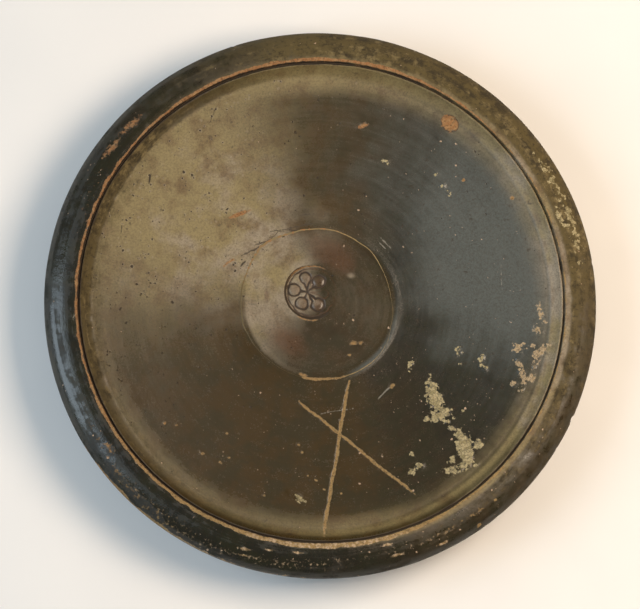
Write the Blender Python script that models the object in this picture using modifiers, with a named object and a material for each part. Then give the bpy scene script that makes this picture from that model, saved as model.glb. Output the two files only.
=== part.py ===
"""Black-gloss pottery plate with a hanging lip, thrown and turned as one piece of fired clay.

The plate stands on its ring foot. Its origin is the middle of the foot's resting face, with
+Z up. Seen from above with +Y up the page, the stamped rosette lies up and left of the
middle, the scratched cross lies below it, and the chip in the lip is at the lower right.
"""

import math

import bmesh
import bpy
from mathutils import Matrix, Vector

MM = 0.001

# Turning
TURN_STEPS = 64
RIM_RADIUS = 110.0 * MM
MERGE_DISTANCE = 0.01 * MM
SHARP_EDGE = math.radians(32.0)

# Ring foot and the recess inside it
FOOT_RADIUS = 38.0 * MM
FOOT_WAIST = 0.8 * MM
FOOT_BEVEL = 0.9 * MM
FOOT_REST_WIDTH = 3.6 * MM
FOOT_FILLET = 3.5 * MM
RECESS_DEPTH = 11.0 * MM
RECESS_FLARE = 2.0 * MM
RECESS_FILLET = 3.0 * MM
NIPPLE_RADIUS = 8.0 * MM
NIPPLE_DROP = 1.0 * MM

# Floor of the dish, from the middle outwards
BASE_THICKNESS = 8.0 * MM
DISC_RADIUS = 27.8 * MM
DISC_DISH = 0.4 * MM
RING_WIDTH = 4.6 * MM
RING_HEIGHT = 0.5 * MM
RING_STEP = 0.25 * MM
FLOOR_RISE = 6.2 * MM
FLOOR_BEND = 1.5

# Cavetto, groove and ridge between the floor and the lip
CAVETTO_WIDTH = 5.8 * MM
CAVETTO_RISE = 3.9 * MM
CAVETTO_BEND = 1.9
GROOVE_WIDTH = 0.9 * MM
GROOVE_DEPTH = 0.8 * MM
RIDGE_WIDTH = 1.6 * MM
RIDGE_HEIGHT = 1.5 * MM

# Hanging lip outside the ridge
LIP_BAND = 12.6 * MM
LIP_HEIGHT = 16.5 * MM
SHOULDER_DROP = 8.0 * MM
SHOULDER_FULLNESS = 2.2
LIP_TAPER = 0.5 * MM
LIP_THICKNESS = 4.0 * MM
LIP_EDGE_HEIGHT = 2.0 * MM

# Underside
WALL_THICKNESS = 6.5 * MM
HOLLOW_ROOF = 9.5 * MM

# Stamped rosette, pressed in at a slant so that its left side is the deepest
STAMP_CENTRE = Vector((-3.5, 5.6)) * MM
STAMP_RADIUS = 10.7 * MM
STAMP_DEPTH = 0.55 * MM
STAMP_SLANT = math.radians(3.4)
STAMP_LINE = 0.85 * MM
STAMP_SIDES = 32
BORDER_INSET = 1.3 * MM
ROSETTE_SHIFT = Vector((-0.8, 0.3)) * MM
PETALS = 6
PETAL_TURN = math.radians(-4.0)
PETAL_HUB = 1.2 * MM
PETAL_TIP_GAP = 0.5 * MM
PETAL_SIDE_GAP = 1.6 * MM
PETAL_BELLY = 0.7
PETAL_POINTS = 14

# Cross scratched through the gloss: each end is a share of the dish's radius and an angle
SCRATCH_LONG = ((0.346, math.radians(-69.9)), (0.977, math.radians(-89.7)))
SCRATCH_SHORT = ((0.422, math.radians(-102.4)), (0.891, math.radians(-64.3)))
SCRATCH_WIDTH = 1.5 * MM
SCRATCH_DEPTH = 0.5 * MM
SCRATCH_POINTS = 9

# Chip knocked out of the lip's side
CHIP_ANGLE = math.radians(-25.5)
CHIP_LENGTH = 7.0 * MM
CHIP_BITE = 1.7 * MM
CHIP_HEIGHT = 9.0 * MM
CHIP_RISE = 6.0 * MM

# Radii and heights that follow from the sizes above
RING_OUTER = DISC_RADIUS + RING_WIDTH
RIDGE_RADIUS = RIM_RADIUS - LIP_BAND
GROOVE_OUTER = RIDGE_RADIUS - RIDGE_WIDTH / 2
GROOVE_INNER = GROOVE_OUTER - GROOVE_WIDTH
CAVETTO_INNER = GROOVE_INNER - CAVETTO_WIDTH
BASE_HEIGHT = RECESS_DEPTH + BASE_THICKNESS
SLOPE_START = BASE_HEIGHT + DISC_DISH + RING_STEP
CAVETTO_START = SLOPE_START + FLOOR_RISE
CAVETTO_END = CAVETTO_START + CAVETTO_RISE
CREST_HEIGHT = CAVETTO_END + RIDGE_HEIGHT
LIP_BOTTOM = CREST_HEIGHT - LIP_HEIGHT
LIP_SIDE_BOTTOM = LIP_BOTTOM + LIP_EDGE_HEIGHT


def clear_scene():
    """Remove whatever the file holds before the plate is made."""
    for obj in list(bpy.data.objects):
        bpy.data.objects.remove(obj)


def new_collection(name):
    """Return a collection linked to the scene."""
    collection = bpy.data.collections.new(name)
    bpy.context.scene.collection.children.link(collection)
    return collection


def floor_height(radius):
    """Height of the dish's upper face at a radius: disc, raised ring, slope or cavetto."""
    if radius <= DISC_RADIUS:
        return BASE_HEIGHT + DISC_DISH * (radius / DISC_RADIUS) ** 2
    if radius <= RING_OUTER:
        share = (radius - DISC_RADIUS) / RING_WIDTH
        return BASE_HEIGHT + DISC_DISH + RING_STEP * share + RING_HEIGHT * math.sin(math.pi * share)
    if radius <= CAVETTO_INNER:
        share = (radius - RING_OUTER) / (CAVETTO_INNER - RING_OUTER)
        return SLOPE_START + FLOOR_RISE * share ** FLOOR_BEND
    share = (radius - CAVETTO_INNER) / CAVETTO_WIDTH
    return CAVETTO_START + CAVETTO_RISE * share ** CAVETTO_BEND


def wall_underside(radius):
    """Height of the wall's lower face, a wall's thickness under the slope of the floor."""
    share = max(radius - RING_OUTER, 0.0) / (CAVETTO_INNER - RING_OUTER)
    return SLOPE_START + FLOOR_RISE * share ** FLOOR_BEND - WALL_THICKNESS


def floor_points(inner, outer, count):
    """Section points on the dish's upper face, from inner to outer, leaving out inner."""
    radii = [inner + (outer - inner) * step / count for step in range(1, count + 1)]
    return [Vector((radius, floor_height(radius))) for radius in radii]


def bend(start, corner, end, count):
    """Section points of a round bend between two lines, leaving out its start."""
    points = []
    for step in range(1, count + 1):
        t = step / count
        points.append(start.lerp(corner, t).lerp(corner.lerp(end, t), t))
    return points


def dish_section():
    """Section of the dish, from the axis to the top of the ridge."""
    points = [Vector((0.0, BASE_HEIGHT))]
    points += floor_points(0.0, DISC_RADIUS, 3)
    points += floor_points(DISC_RADIUS, RING_OUTER, 4)
    points += floor_points(RING_OUTER, CAVETTO_INNER, 8)
    points += floor_points(CAVETTO_INNER, GROOVE_INNER, 5)
    points.append(Vector((GROOVE_INNER + GROOVE_WIDTH / 2, CAVETTO_END - GROOVE_DEPTH)))
    ridge_foot = Vector((GROOVE_OUTER, CAVETTO_END + RIDGE_HEIGHT / 2))
    points.append(ridge_foot)
    top = Vector((RIDGE_RADIUS, CREST_HEIGHT))
    points += bend(ridge_foot, Vector((GROOVE_OUTER, CREST_HEIGHT)), top, 3)
    return points


def lip_section():
    """Section of the hanging lip, over its full shoulder, down its side and round its edge."""
    points = []
    power = 2 / SHOULDER_FULLNESS
    for step in range(1, 9):
        turn = math.pi / 2 * step / 8
        radius = RIDGE_RADIUS + LIP_BAND * math.sin(turn) ** power
        height = CREST_HEIGHT - SHOULDER_DROP * (1 - max(math.cos(turn), 0.0) ** power)
        points.append(Vector((radius, height)))
    side = Vector((RIM_RADIUS - LIP_TAPER, LIP_SIDE_BOTTOM))
    edge = Vector((RIM_RADIUS - LIP_TAPER - LIP_THICKNESS / 2, LIP_BOTTOM))
    inside = Vector((RIM_RADIUS - LIP_TAPER - LIP_THICKNESS, LIP_SIDE_BOTTOM))
    points.append(side)
    points += bend(side, Vector((side.x, LIP_BOTTOM)), edge, 3)
    points += bend(edge, Vector((inside.x, LIP_BOTTOM)), inside, 3)
    return points


def underside_section():
    """Section of the underside, from the lip's inner face to the outer side of the foot."""
    inside = Vector((RIM_RADIUS - LIP_TAPER - LIP_THICKNESS, LIP_SIDE_BOTTOM))
    roof = Vector((inside.x, CREST_HEIGHT - HOLLOW_ROOF))
    wall_end = Vector((CAVETTO_INNER, wall_underside(CAVETTO_INNER)))
    points = bend(inside, roof, wall_end, 6)
    fillet_start = FOOT_RADIUS + FOOT_FILLET
    for step in range(1, 6):
        radius = CAVETTO_INNER + (fillet_start - CAVETTO_INNER) * step / 5
        points.append(Vector((radius, wall_underside(radius))))
    corner = Vector((FOOT_RADIUS - FOOT_WAIST, wall_underside(FOOT_RADIUS)))
    waist = corner - Vector((0.0, FOOT_FILLET))
    points += bend(points[-1], corner, waist, 3)
    return points


def foot_section():
    """Section of the ring foot and its recess, down to the resting face and back to the axis."""
    heel_top = Vector((FOOT_RADIUS, FOOT_BEVEL * 2))
    heel = Vector((FOOT_RADIUS - FOOT_BEVEL, 0.0))
    toe = heel - Vector((FOOT_REST_WIDTH, 0.0))
    toe_top = toe + Vector((-FOOT_BEVEL, FOOT_BEVEL))
    recess_corner = Vector((toe_top.x - RECESS_FLARE, RECESS_DEPTH))
    recess_side = recess_corner + Vector((0.0, -RECESS_FILLET))
    recess_roof = recess_corner + Vector((-RECESS_FILLET, 0.0))
    points = [heel_top]
    points += bend(heel_top, Vector((FOOT_RADIUS, 0.0)), heel, 2)
    points += [toe, toe_top, recess_side]
    points += bend(recess_side, recess_corner, recess_roof, 3)
    points.append(Vector((NIPPLE_RADIUS, RECESS_DEPTH)))
    points.append(Vector((NIPPLE_RADIUS / 3, RECESS_DEPTH - NIPPLE_DROP * 2 / 3)))
    points.append(Vector((0.0, RECESS_DEPTH - NIPPLE_DROP)))
    return points


def black_gloss():
    """Material of the whole plate: a satin black slip over orange clay."""
    material = bpy.data.materials.new("black_gloss")
    material.use_nodes = True
    shader = material.node_tree.nodes["Principled BSDF"]
    shader.inputs["Base Color"].default_value = (0.045, 0.042, 0.036, 1.0)
    shader.inputs["Roughness"].default_value = 0.38
    shader.inputs["Metallic"].default_value = 0.0
    return material


def evaluated_mesh(obj):
    """Return a new mesh of the object as its modifiers or its curve's bevel make it."""
    bpy.context.view_layer.update()
    graph = bpy.context.evaluated_depsgraph_get()
    return bpy.data.meshes.new_from_object(obj.evaluated_get(graph))


def turned_plate(collection):
    """Return the plate's body: its section swept round the axis and shaded smooth."""
    section = dish_section() + lip_section() + underside_section() + foot_section()
    mesh = bpy.data.meshes.new("plate_section")
    corners = [(point.x, 0.0, point.y) for point in section]
    edges = [(k, k + 1) for k in range(len(corners) - 1)]
    mesh.from_pydata(corners, edges, [])
    plate = bpy.data.objects.new("plate", mesh)
    collection.objects.link(plate)
    screw = plate.modifiers.new("turn", "SCREW")
    screw.axis = "Z"
    screw.angle = math.tau
    screw.steps = TURN_STEPS
    screw.render_steps = TURN_STEPS
    screw.use_merge_vertices = True
    screw.merge_threshold = MERGE_DISTANCE
    turned = evaluated_mesh(plate)
    plate.modifiers.remove(screw)
    plate.data = turned
    turned.name = "plate"
    turned.shade_smooth()
    turned.set_sharp_from_angle(angle=SHARP_EDGE)
    turned.materials.append(black_gloss())
    return plate


def as_cutter(name, mesh, collection):
    """Return an object of the mesh that cuts: left out of the render and drawn as wire."""
    cutter = bpy.data.objects.new(name, mesh)
    collection.objects.link(cutter)
    cutter.hide_render = True
    cutter.display_type = "WIRE"
    return cutter


def tube_cutter(name, points, radius, closed, collection):
    """Return a round tube along the points, which cuts a round-bottomed groove."""
    curve = bpy.data.curves.new(name, "CURVE")
    curve.dimensions = "3D"
    curve.bevel_depth = radius
    curve.bevel_resolution = 1
    curve.use_fill_caps = not closed
    spline = curve.splines.new("POLY")
    spline.points.add(len(points) - 1)
    for slot, point in zip(spline.points, points):
        slot.co = (*point, 1.0)
    spline.use_cyclic_u = closed
    path = bpy.data.objects.new(name + "_path", curve)
    collection.objects.link(path)
    mesh = evaluated_mesh(path)
    bpy.data.objects.remove(path)
    shape = bmesh.new()
    shape.from_mesh(mesh)
    bmesh.ops.remove_doubles(shape, verts=shape.verts, dist=MERGE_DISTANCE)
    bmesh.ops.recalc_face_normals(shape, faces=shape.faces)
    shape.to_mesh(mesh)
    shape.free()
    return as_cutter(name, mesh, collection)


def stamp_matrix():
    """Place of the stamp's face: sunk into the floor and turned about Y by its slant."""
    height = floor_height(STAMP_CENTRE.length) - STAMP_DEPTH
    place = Matrix.Translation((STAMP_CENTRE.x, STAMP_CENTRE.y, height))
    return place @ Matrix.Rotation(-STAMP_SLANT, 4, "Y")


def stamp_field(collection):
    """Return the cutter of the stamp's round sunken field, wider at its mouth."""
    height = STAMP_RADIUS
    shape = bmesh.new()
    bmesh.ops.create_cone(
        shape,
        cap_ends=True,
        segments=STAMP_SIDES,
        radius1=STAMP_RADIUS - STAMP_LINE / 2,
        radius2=STAMP_RADIUS + height / 2,
        depth=height,
        matrix=stamp_matrix() @ Matrix.Translation((0.0, 0.0, height / 2)),
    )
    mesh = bpy.data.meshes.new("stamp_field")
    shape.to_mesh(mesh)
    shape.free()
    return as_cutter("stamp_field", mesh, collection)


def border_points():
    """Circle of the thin line just inside the stamp's edge."""
    radius = STAMP_RADIUS - BORDER_INSET
    turns = [math.tau * step / STAMP_SIDES for step in range(STAMP_SIDES)]
    return [stamp_matrix() @ Vector((radius * math.cos(t), radius * math.sin(t), 0.0)) for t in turns]


def petal_points(index):
    """Outline of one petal, drawn out to a point at the hub and round at its outer end."""
    reach = STAMP_RADIUS - BORDER_INSET - STAMP_LINE - PETAL_TIP_GAP - ROSETTE_SHIFT.length
    length = reach - PETAL_HUB
    width = 2 * (PETAL_HUB + length * PETAL_BELLY) * math.tan(math.pi / PETALS) - PETAL_SIDE_GAP
    turn = math.tau * index / PETALS + PETAL_TURN
    points = []
    for step in range(PETAL_POINTS):
        t = math.tau * (step + 0.5) / PETAL_POINTS
        along = PETAL_HUB + length * (1 - math.cos(t)) / 2
        across = width / 2 * math.sin(t) * math.sqrt(math.sin(t / 2))
        x = ROSETTE_SHIFT.x + along * math.cos(turn) - across * math.sin(turn)
        y = ROSETTE_SHIFT.y + along * math.sin(turn) + across * math.cos(turn)
        points.append(stamp_matrix() @ Vector((x, y, 0.0)))
    return points


def scratch_radius():
    """Radius of the tube whose lowest part leaves a stroke of the stated width and depth."""
    half = SCRATCH_WIDTH / 2
    return (half ** 2 + SCRATCH_DEPTH ** 2) / (2 * SCRATCH_DEPTH)


def scratch_points(ends):
    """Centre line of one stroke of the cross, held at its height over the floor."""
    places = [Vector((math.cos(turn), math.sin(turn))) * share * GROOVE_INNER for share, turn in ends]
    lift = scratch_radius() - SCRATCH_DEPTH
    points = []
    for step in range(SCRATCH_POINTS):
        place = places[0].lerp(places[1], step / (SCRATCH_POINTS - 1))
        points.append(Vector((place.x, place.y, floor_height(place.length) + lift)))
    return points


def rim_chip(collection):
    """Return the cutter of the chip: a coarse ball that bites into the lip's side."""
    half_depth = CHIP_BITE * 1.5
    distance = RIM_RADIUS + half_depth - CHIP_BITE
    turn = Matrix.Rotation(CHIP_ANGLE, 4, "Z")
    place = Matrix.Translation((distance, 0.0, LIP_BOTTOM + CHIP_RISE))
    size = Matrix.Diagonal((half_depth, CHIP_LENGTH / 2, CHIP_HEIGHT / 2, 1.0))
    shape = bmesh.new()
    bmesh.ops.create_icosphere(shape, subdivisions=2, radius=1.0, matrix=turn @ place @ size)
    mesh = bpy.data.meshes.new("rim_chip")
    shape.to_mesh(mesh)
    shape.free()
    return as_cutter("rim_chip", mesh, collection)


def carve(plate, collection):
    """Cut every stamped, scratched and broken place out of the plate."""
    tools = [stamp_field(collection)]
    tools.append(tube_cutter("stamp_border", border_points(), STAMP_LINE / 2, True, collection))
    for index in range(PETALS):
        name = f"petal_{index + 1}"
        tools.append(tube_cutter(name, petal_points(index), STAMP_LINE / 2, True, collection))
    for name, ends in (("scratch_long", SCRATCH_LONG), ("scratch_short", SCRATCH_SHORT)):
        tools.append(tube_cutter(name, scratch_points(ends), scratch_radius(), False, collection))
    tools.append(rim_chip(collection))
    for tool in tools:
        cut = plate.modifiers.new(tool.name, "BOOLEAN")
        cut.operation = "DIFFERENCE"
        cut.solver = "EXACT"
        cut.use_self = True
        cut.object = tool


def main():
    """Build the plate."""
    clear_scene()
    plate = turned_plate(new_collection("plate_parts"))
    carve(plate, new_collection("plate_cutters"))


main()
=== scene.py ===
"""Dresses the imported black-gloss plate: one turned clay body with its stamped rosette, scratched cross,
worn ridge and flaked gloss as real relief, the crumbs of lime that stick to it, and a plain studio.

Sizes are in millimetres in the plate's own frame: +Z is up out of the dish, the origin is under the foot.
"""

import logging
import math
from dataclasses import dataclass
from enum import Enum
from typing import Union

import bmesh
import bpy
import numpy as np
from mathutils import Matrix, Vector, noise


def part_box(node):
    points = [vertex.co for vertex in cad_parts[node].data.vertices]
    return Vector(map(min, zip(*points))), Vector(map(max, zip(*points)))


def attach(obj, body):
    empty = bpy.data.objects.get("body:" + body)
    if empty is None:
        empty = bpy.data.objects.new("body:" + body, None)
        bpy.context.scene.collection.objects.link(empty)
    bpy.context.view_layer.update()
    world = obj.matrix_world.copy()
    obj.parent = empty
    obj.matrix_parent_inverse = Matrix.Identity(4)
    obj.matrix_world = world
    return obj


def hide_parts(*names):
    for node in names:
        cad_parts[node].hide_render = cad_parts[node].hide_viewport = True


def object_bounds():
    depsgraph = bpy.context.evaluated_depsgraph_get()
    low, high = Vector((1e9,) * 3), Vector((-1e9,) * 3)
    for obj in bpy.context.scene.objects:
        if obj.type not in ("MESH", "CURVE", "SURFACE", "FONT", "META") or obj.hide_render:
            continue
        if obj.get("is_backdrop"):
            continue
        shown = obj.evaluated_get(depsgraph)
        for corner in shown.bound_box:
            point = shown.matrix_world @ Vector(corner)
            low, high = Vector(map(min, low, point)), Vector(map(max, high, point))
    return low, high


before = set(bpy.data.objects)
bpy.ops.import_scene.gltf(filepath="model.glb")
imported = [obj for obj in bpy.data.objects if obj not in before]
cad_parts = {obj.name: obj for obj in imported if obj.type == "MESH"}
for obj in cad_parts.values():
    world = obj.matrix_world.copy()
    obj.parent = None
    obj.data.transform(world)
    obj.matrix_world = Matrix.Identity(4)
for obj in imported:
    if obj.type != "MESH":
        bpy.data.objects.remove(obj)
CAD_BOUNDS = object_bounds()

MM = 0.001
LOG = logging.getLogger("plate")

Colour = tuple[float, float, float]
Steps = tuple[tuple[float, float], ...]
Number = Union["Reading", float]
Shade = Union["Reading", Colour]
Inputs = dict[str, object] | None

# A mark's number, in millimetres, where the mark can't be, and where it mustn't call for a finer mesh.
OUTSIDE = -3.0
FAR_OUTSIDE = -99.0
# The table of a zone that carries nothing of a mark.
NOWHERE: Steps = ((0, 0.0),)
# Half the width of a dot's soft edge, in millimetres.
DOT_EDGE = 0.12


class Mark(Enum):
    """Names of the numbers that the body carries at each point for its finish.

    The first four are millimetres inside an edge, the ring line is shares of its half width from the line's
    middle, and the rest run from 0 to about 1.
    """

    BARE = "bare_clay"
    LIME = "lime_crust"
    # Dark grime, and painted shade in the groove's dark line and under the stamp's deep edge.
    DIRT_AND_SHADE = "dirt"
    SCUFF = "pale_scuffs"
    RING_LINE = "ring_line"
    # Dull film, which also paints a warm sheen on the dish and reflections in the cavetto.
    FILM_AND_SHEEN = "dull_film"
    # Slate haze, which mostly paints a bluish reflection on the right of the dish and a highlight on the
    # raised ring, with a teal tint on the lip's left side.
    SLATE_AND_REFLECTION = "slate_haze"
    BROWN = "brown_slip"
    # Red-brown blush, which also paints part of the pink highlight beside the crest.
    BLUSH_AND_SHEEN = "red_blush"
    CRUST = "rim_crust"
    SPECKS = "pale_specks"
    PITS = "dark_pits"


class Ring(Enum):
    """Names of the numbers that each ring of the turned body carries: its place on the section."""

    RADIUS = "ring_radius"
    HEIGHT = "ring_height"
    RUN = "ring_run"


class Grain(Enum):
    """Random fields on the body: how far apart the hills lie, in millimetres, and the seed."""

    ZONE_BLUR = (15.0, 61.0)
    STAMP_STRAY = (2.3, 91.0)
    CREST_OUTER = (4.0, 21.0)
    CREST_INNER = (4.0, 5.0)
    CREST_NICKS = (2.6, 86.0)
    CREST_FINE_NICKS = (1.1, 87.0)
    RING_WANDER = (6.0, 31.0)
    EDGE_WEAR = (3.2, 41.0)
    FOOT_WEAR = (2.5, 43.0)
    LIP_FLAKES = (1.6, 45.0)
    # Breaks up the groove's dark line of grime and painted shade.
    GROOVE_DIRT_AND_SHADE = (6.0, 51.0)
    GROOVE_FILL = (6.0, 88.0)
    CHIP = (1.6, 71.0)
    NICKS = (5.5, 73.0)
    FINE_NICKS = (2.0, 74.0)
    TURNING = (1.8, 81.0)
    HILLS = (19.0, 82.0)
    FLAKES = (1.6, 83.0)
    CRUST = (1.4, 84.0)
    CRUST_EDGE = (2.6, 85.0)


def smooth(value: np.ndarray, low: float, high: float) -> np.ndarray:
    """Rise smoothly from 0 to 1.

    Args:
        value: where to read the step.
        low: where it is still 0.
        high: where it has reached 1; it may lie below low.

    Returns:
        The step's height at each value.
    """
    share = np.clip((value - low) / (high - low), 0.0, 1.0)
    return share * share * (3.0 - 2.0 * share)


def bell(value: np.ndarray, middle: float, spread: float) -> np.ndarray:
    """Rise to 1 at the middle and fall to nothing about two spreads away.

    Args:
        value: where to read the bell.
        middle: its highest place.
        spread: how wide it is.

    Returns:
        The bell's height at each value.
    """
    return np.exp(-(((value - middle) / spread) ** 2))


def grain(x: np.ndarray, y: np.ndarray, z: np.ndarray, size: float, seed: float) -> np.ndarray:
    """Read a smooth random field, from about -1 to 1.

    Args:
        x: first coordinate of each place.
        y: second coordinate.
        z: third coordinate.
        size: how far apart its hills lie, in the coordinates' unit.
        seed: which field it is.

    Returns:
        The field at each place.
    """
    places = np.stack([x / size + seed, y / size - seed, z / size + 0.5 * seed], axis=1)
    return np.array([noise.noise(Vector(place)) for place in places.tolist()])


def by_angle(angle: np.ndarray, steps: Steps) -> np.ndarray:
    """Read a size that changes round the plate.

    Args:
        angle: angles in degrees, from 0 to 360.
        steps: pairs of an angle and the size there, in rising order.

    Returns:
        The size at each angle, in straight lines between the steps and round past 360.
    """
    turns, sizes = zip(*steps)
    return np.interp(angle, turns, sizes, period=360.0)


def each(kind: type, *rows: tuple) -> tuple:
    """Make one thing of a kind from each row of sizes."""
    return tuple(kind(*row) for row in rows)


def put_in_scene(name: str, data: bpy.types.ID) -> bpy.types.Object:
    """Make an object of some data and link it to the scene.

    Args:
        name: the object's name.
        data: its mesh, light or camera.

    Returns:
        The object.
    """
    made = bpy.data.objects.new(name, data)
    bpy.context.scene.collection.objects.link(made)
    return made


@dataclass
class Surface:
    """The body's points while its relief is worked out."""

    radius: np.ndarray
    height: np.ndarray
    run: np.ndarray
    angle: np.ndarray
    lift: np.ndarray
    shift: np.ndarray

    @classmethod
    def of(cls, mesh: bpy.types.Mesh) -> "Surface":
        """Read the points of a turned mesh.

        Args:
            mesh: the turned body with its ring numbers.

        Returns:
            The surface, with no relief yet.
        """
        count = len(mesh.vertices)
        places = np.zeros(count * 3)
        mesh.vertices.foreach_get("co", places)
        places = places.reshape(-1, 3)
        rings = []
        for name in Ring:
            numbers = np.zeros(count)
            mesh.attributes[name.value].data.foreach_get("value", numbers)
            rings.append(numbers)
        angle = np.degrees(np.arctan2(places[:, 1], places[:, 0])) % 360.0
        return cls(*rings, angle, np.zeros(count), np.zeros(count))

    @property
    def x(self) -> np.ndarray:
        """First coordinate of each point before its relief."""
        return self.radius * np.cos(np.radians(self.angle))

    @property
    def y(self) -> np.ndarray:
        """Second coordinate of each point before its relief."""
        return self.radius * np.sin(np.radians(self.angle))

    def around(self, steps: Steps) -> np.ndarray:
        """Read a size that changes round the plate."""
        return by_angle(self.angle, steps)

    def grain(self, field: Grain) -> np.ndarray:
        """Read a random field on the surface, from about -1 to 1."""
        return grain(self.x, self.y, self.height, *field.value)

    def streaks(self, field: Grain) -> np.ndarray:
        """Read a random field drawn out round the axis, as turning leaves it.

        Args:
            field: which one it is.

        Returns:
            The field at each point, from about -1 to 1.
        """
        size, seed = field.value
        turn = np.radians(self.angle)
        return grain(self.radius / size, 3.0 * np.cos(turn), 3.0 * np.sin(turn), 1.0, seed)


@dataclass(frozen=True)
class Zones:
    """How far each point belongs to the disc, the cavetto's foot, its wall, the lip and the upper side."""

    disc: np.ndarray
    foot: np.ndarray
    wall: np.ndarray
    lip: np.ndarray
    upper: np.ndarray


@dataclass(frozen=True)
class Spread:
    """How much of one mark each zone of the plate carries, changing round it."""

    mark: Mark
    disc: Steps = NOWHERE
    dish: Steps = NOWHERE
    foot: Steps = NOWHERE
    wall: Steps = NOWHERE
    lip: Steps = NOWHERE
    under: float = 0.0
    blur: float = 24.0
    blur_reach: tuple[float, float] = (75.0, 25.0)

    def read(self, surface: Surface, zones: Zones) -> np.ndarray:
        """Work out the mark.

        Args:
            surface: the body's points.
            zones: which zone each point belongs to.

        Returns:
            The mark at each point.
        """
        blur = self.blur * surface.grain(Grain.ZONE_BLUR) * smooth(surface.radius, *self.blur_reach)
        blurred = surface.angle + blur
        dish, disc, foot, wall, lip = (
            by_angle(blurred, steps) for steps in (self.dish, self.disc, self.foot, self.wall, self.lip))
        value = dish + (disc - dish) * zones.disc
        value = value + (np.maximum(value, foot) - value) * zones.foot
        value = value + (wall - value) * zones.wall
        value = value + (lip - value) * zones.lip
        return np.where(zones.upper, value, self.under)


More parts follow.
